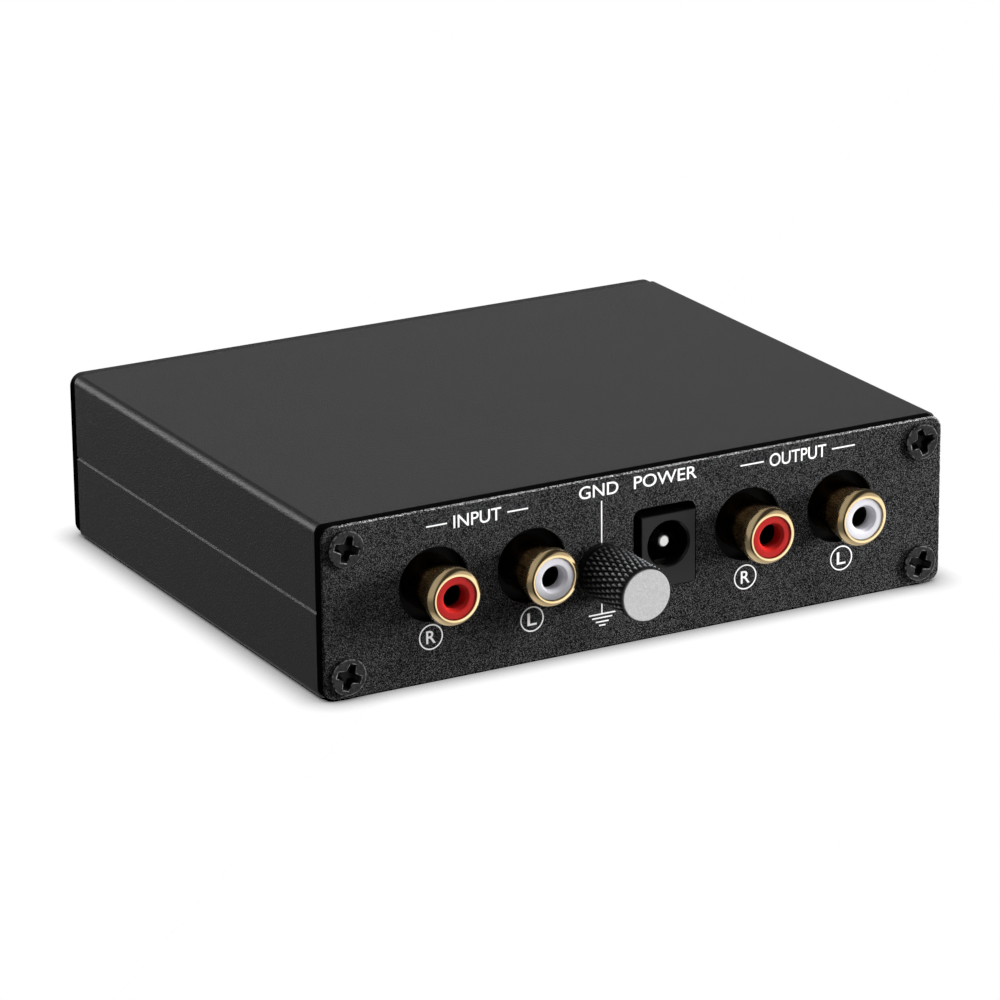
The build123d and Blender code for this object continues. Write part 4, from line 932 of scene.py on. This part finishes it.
for z, width in ((5.2, 4.4), (4.65, 3.3), (4.05, 2.1), (3.5, 1.05)):
    jack_print.bar(GROUND_X + 0.05, z, width, LINE_WIDTH)
for letter, x, z in (("R", -34.1, 6.8), ("L", -17.9, 6.5), ("R", 17.4, 6.5), ("L", 33.8, 6.5)):
    jack_print.channel(letter, x, z)
jack_print.laid("jack_panel_legends", half_turn=False)

# %% Legends of the control panel
BOLD_STROKE = 0.03
control_print = Print()
for word, x, z, width, height in (
    ("ON", 34.0, 19.2, 2.9, 1.7),
    ("OFF", 34.0, 6.4, 3.9, 1.7),
    ("GAIN", -30.0, 18.2, 5.6, 1.7),
    ("LOW", -34.0, 7.6, 4.2, 1.5),
    ("HIGH", -26.0, 7.6, 4.6, 1.5),
):
    control_print.word(word, x, z, width, height, BOLD_STROKE)
control_print.laid("control_panel_legends", half_turn=True)

# %% [markdown]
# ## Control panel parts
# The button is turned metal with fine rings on its face, the lens is clear blue, and the selector's
# lever has grip lines across its end. Such lines could be modelled, but they are at most a twentieth of
# a millimetre deep. A bump in even waves is enough: it changes how the surface shines, not its outline.

# %% Button, lens and lever
turned_metal = Finish("turned_aluminium", Metallic=1.0)
button_x, button_z = turned_metal.x - BUTTON_X * MM, turned_metal.z - BUTTON_Z * MM
rings = turned_metal.waves((button_x**2 + button_z**2) ** 0.5, 0.12 * MM)
polish = turned_metal.noise(1.5 * MM, detail=3)
turned_metal.feed("Base Color", turned_metal.mix(polish, (0.48, 0.48, 0.50), (0.60, 0.60, 0.62)))
turned_metal.feed("Roughness", 0.25 + 0.12 * polish)
turned_metal.bump(rings, 0.003 * MM, 0.5)
dress(turned_metal, "power_button")
clear_blue = Finish("clear_blue_lens", Transmission_Weight=0.7, IOR=1.49)
tint = clear_blue.noise(0.8 * MM)
clear_blue.feed("Base Color", clear_blue.mix(tint, (0.25, 0.45, 0.85), (0.35, 0.58, 0.95)))
clear_blue.feed("Roughness", 0.06 + 0.08 * tint)
clear_blue.bump(clear_blue.noise(0.3 * MM), 0.002 * MM, 0.3)
dress(clear_blue, "indicator_lens")
ribbed = Finish("ribbed_lever")
grime = ribbed.noise(0.6 * MM, detail=3)
ribbed.feed("Base Color", ribbed.mix(grime, (0.018, 0.018, 0.018), (0.030, 0.030, 0.030)))
ribbed.feed("Roughness", 0.40 + 0.15 * grime)
ribbed.bump(ribbed.waves(ribbed.x, 0.6 * MM), 0.05 * MM, 0.8)
dress(ribbed, "selector_lever")

# %% [markdown]
# ## Inside the case
# The board and its parts are hidden until the case is opened. Parts of one kind share an object, so
# their bands, sleeves and bare tops come from sums that fold every part onto one: the distance from the
# nearest part's own centre. A piece with a material for each band would look the same, but it would
# repeat shapes that are right already.

# %% Board
mask_green = Finish("green_solder_mask")
weave = mask_green.noise(0.4 * MM, detail=3)
blocks = mask_green.node(
    "ShaderNodeTexBrick",
    {"offset": 0.5},
    {"Vector": mask_green.place, "Scale": 1 / (7 * MM), "Mortar Size": 0.05, "Mortar Smooth": 0.0},
    "Fac",
)
copper = blocks * 0.8
mask_green.feed("Base Color", mask_green.mix(copper, (0.010, 0.075, 0.030), (0.030, 0.160, 0.060)))
mask_green.feed("Roughness", 0.22 + 0.15 * weave)
mask_green.bump(copper + 0.1 * weave, 0.03 * MM, 0.6)
dress(mask_green, "circuit_board")

# %% Sockets, chips and regulators
LEAD_METAL = (0.62, 0.62, 0.60)
CHIP_ROW_X, CHIP_HALF_WIDTH = 20.0, 3.25
socket_black = moulded("socket_moulding", (0.016, 0.016, 0.016), (0.030, 0.030, 0.030), 0.38)
dress(socket_black, "amplifier_sockets")


def leaded(finish, body, bare=None):
    """Turn everything outside a body mask into tinned lead wire. A bare mask is metal too."""
    base = finish.shader.inputs["Base Color"].links[0].from_socket
    finish.feed("Base Color", finish.mix(body, LEAD_METAL, Field(finish, base)))
    wire = 1.0 - body
    finish.feed("Metallic", wire if bare is None else wire.most(bare))


chip_black = Finish("chip_epoxy")
flow_marks(chip_black, 0.45)
epoxy = chip_black.noise(0.1 * MM, detail=3)
lines = chip_black.waves(chip_black.x, 1.6 * MM).above(0.75) * epoxy.above(0.45)
marked = lines * chip_black.z.above((CHIP_TOP - 0.01) * MM)
chip_black.feed("Base Color", chip_black.mix(marked, (0.02, 0.02, 0.02), (0.3, 0.3, 0.3)))
leaded(chip_black, abs(abs(chip_black.x) - CHIP_ROW_X * MM).below(CHIP_HALF_WIDTH * MM))
dress(chip_black, "amplifier_chips")
regulator_black = moulded("regulator_moulding", (0.014, 0.014, 0.015), (0.026, 0.026, 0.027), 0.42)
leaded(regulator_black, regulator_black.z.above((BOARD_TOP + 2.45) * MM))
dress(regulator_black, "regulators")

# %% Film capacitors
film_box = moulded("film_capacitor_box", (0.36, 0.10, 0.03), (0.46, 0.14, 0.05), 0.25)
leaded(film_box, film_box.z.above(BOARD_TOP * MM))
dress(film_box, "film_capacitors")


# %% Resistors and diodes
def folded(coordinate, first, pitch):
    """Fold a row of equal parts onto its first one: the distance along the row from the nearest middle."""
    moved = coordinate - (first - pitch / 2) * MM
    return moved.modulo(pitch * MM) - pitch / 2 * MM


def banded(name, first, pitch, both_sides, bands, ground, half_length):
    """A finish for rows of axial parts along X: a ground colour with bands, given by start and end."""
    finish = Finish(name)
    along = folded(abs(finish.x) if both_sides else finish.x, first, pitch)
    gloss = finish.noise(0.5 * MM, detail=3)
    colour = finish.mix(gloss, ground, tuple(1.25 * part for part in ground))
    for start, end, band in bands:
        on_band = along.above(start * MM) * along.below(end * MM)
        colour = finish.mix(on_band, colour, band)
    finish.feed("Base Color", colour)
    finish.feed("Roughness", 0.3 + 0.1 * gloss)
    finish.bump(finish.noise(0.3 * MM), 0.006 * MM, 0.3)
    body = abs(along).below((half_length + 0.01) * MM) * finish.z.above((BOARD_TOP + 0.28) * MM)
    leaded(finish, body)
    return finish


GOLD_BAND = (0.45, 0.28, 0.06)
BROWN = (0.10, 0.03, 0.01)
BLACK = (0.01, 0.01, 0.01)
ORANGE = (0.70, 0.20, 0.02)
SILVER = (0.50, 0.50, 0.50)
RESISTOR_BANDS = (
    (-2.6, -2.0, BROWN),
    (-1.5, -1.0, BLACK),
    (-0.4, 0.1, BLACK),
    (0.7, 1.2, ORANGE),
    (2.0, 2.6, GOLD_BAND),
)
DIODE_BANDS = ((1.3, 1.9, SILVER),)
LACQUER_BLUE = (0.10, 0.28, 0.45)
DIODE_BLACK = (0.016, 0.016, 0.017)
resistor_finish = banded("banded_resistor", 20.5, 13.5, True, RESISTOR_BANDS, LACQUER_BLUE, 3.15)
dress(resistor_finish, "resistors")
diode_finish = banded("banded_diode", -4.0, 12.0, False, DIODE_BANDS, DIODE_BLACK, 2.5)
dress(diode_finish, "rectifier_diodes")


# %% Capacitor cans
def sleeved(node, height, radius, across_and_down):
    """A can in a printed sleeve with a bare scored top, from the distances to the nearest can's middle."""
    finish = Finish(f"sleeve_of_{node}")
    across, down = across_and_down(finish)
    from_middle = (across**2 + down**2) ** 0.5
    bare = finish.z.above((BOARD_TOP + height - 0.05) * MM) * from_middle.below(0.8 * radius * MM)
    score = abs(across).least(abs(down)).below(0.12 * MM)
    stripe = across.above(0.5 * radius * MM) * (1 - bare)
    film = finish.noise(0.6 * MM, detail=3)
    sleeve = finish.mix(film, (0.018, 0.022, 0.060), (0.030, 0.036, 0.085))
    printed = finish.mix(stripe, sleeve, (0.40, 0.40, 0.42))
    finish.feed("Base Color", finish.mix(bare, printed, (0.70, 0.70, 0.71)))
    finish.feed("Roughness", 0.25 + 0.12 * film)
    finish.bump(0.3 * film - score * bare, 0.1 * MM, 0.6)
    leaded(finish, finish.z.above(BOARD_TOP * MM), bare)
    dress(finish, node)


def reservoirs(finish):
    """One row of large cans."""
    return folded(finish.x, -4.5, 12.0), finish.y + 8.5 * MM


def decouplers(finish):
    """One row of low cans."""
    return folded(finish.x, -4.5, 12.0), finish.y - 11.0 * MM


def couplers(finish):
    """Four cans on each side of the middle, the outer two half a millimetre nearer the controls."""
    outer_two = abs(finish.x).above(28.75 * MM)
    return folded(abs(finish.x), 17.5, 7.5), finish.y - 13.5 * MM - 0.5 * MM * outer_two


sleeved("reservoir_capacitors", 12.5, 5.0, reservoirs)
sleeved("decoupling_capacitors", 7.0, 2.5, decouplers)
sleeved("coupling_capacitors", 11.0, 2.5, couplers)
print("inside finished")
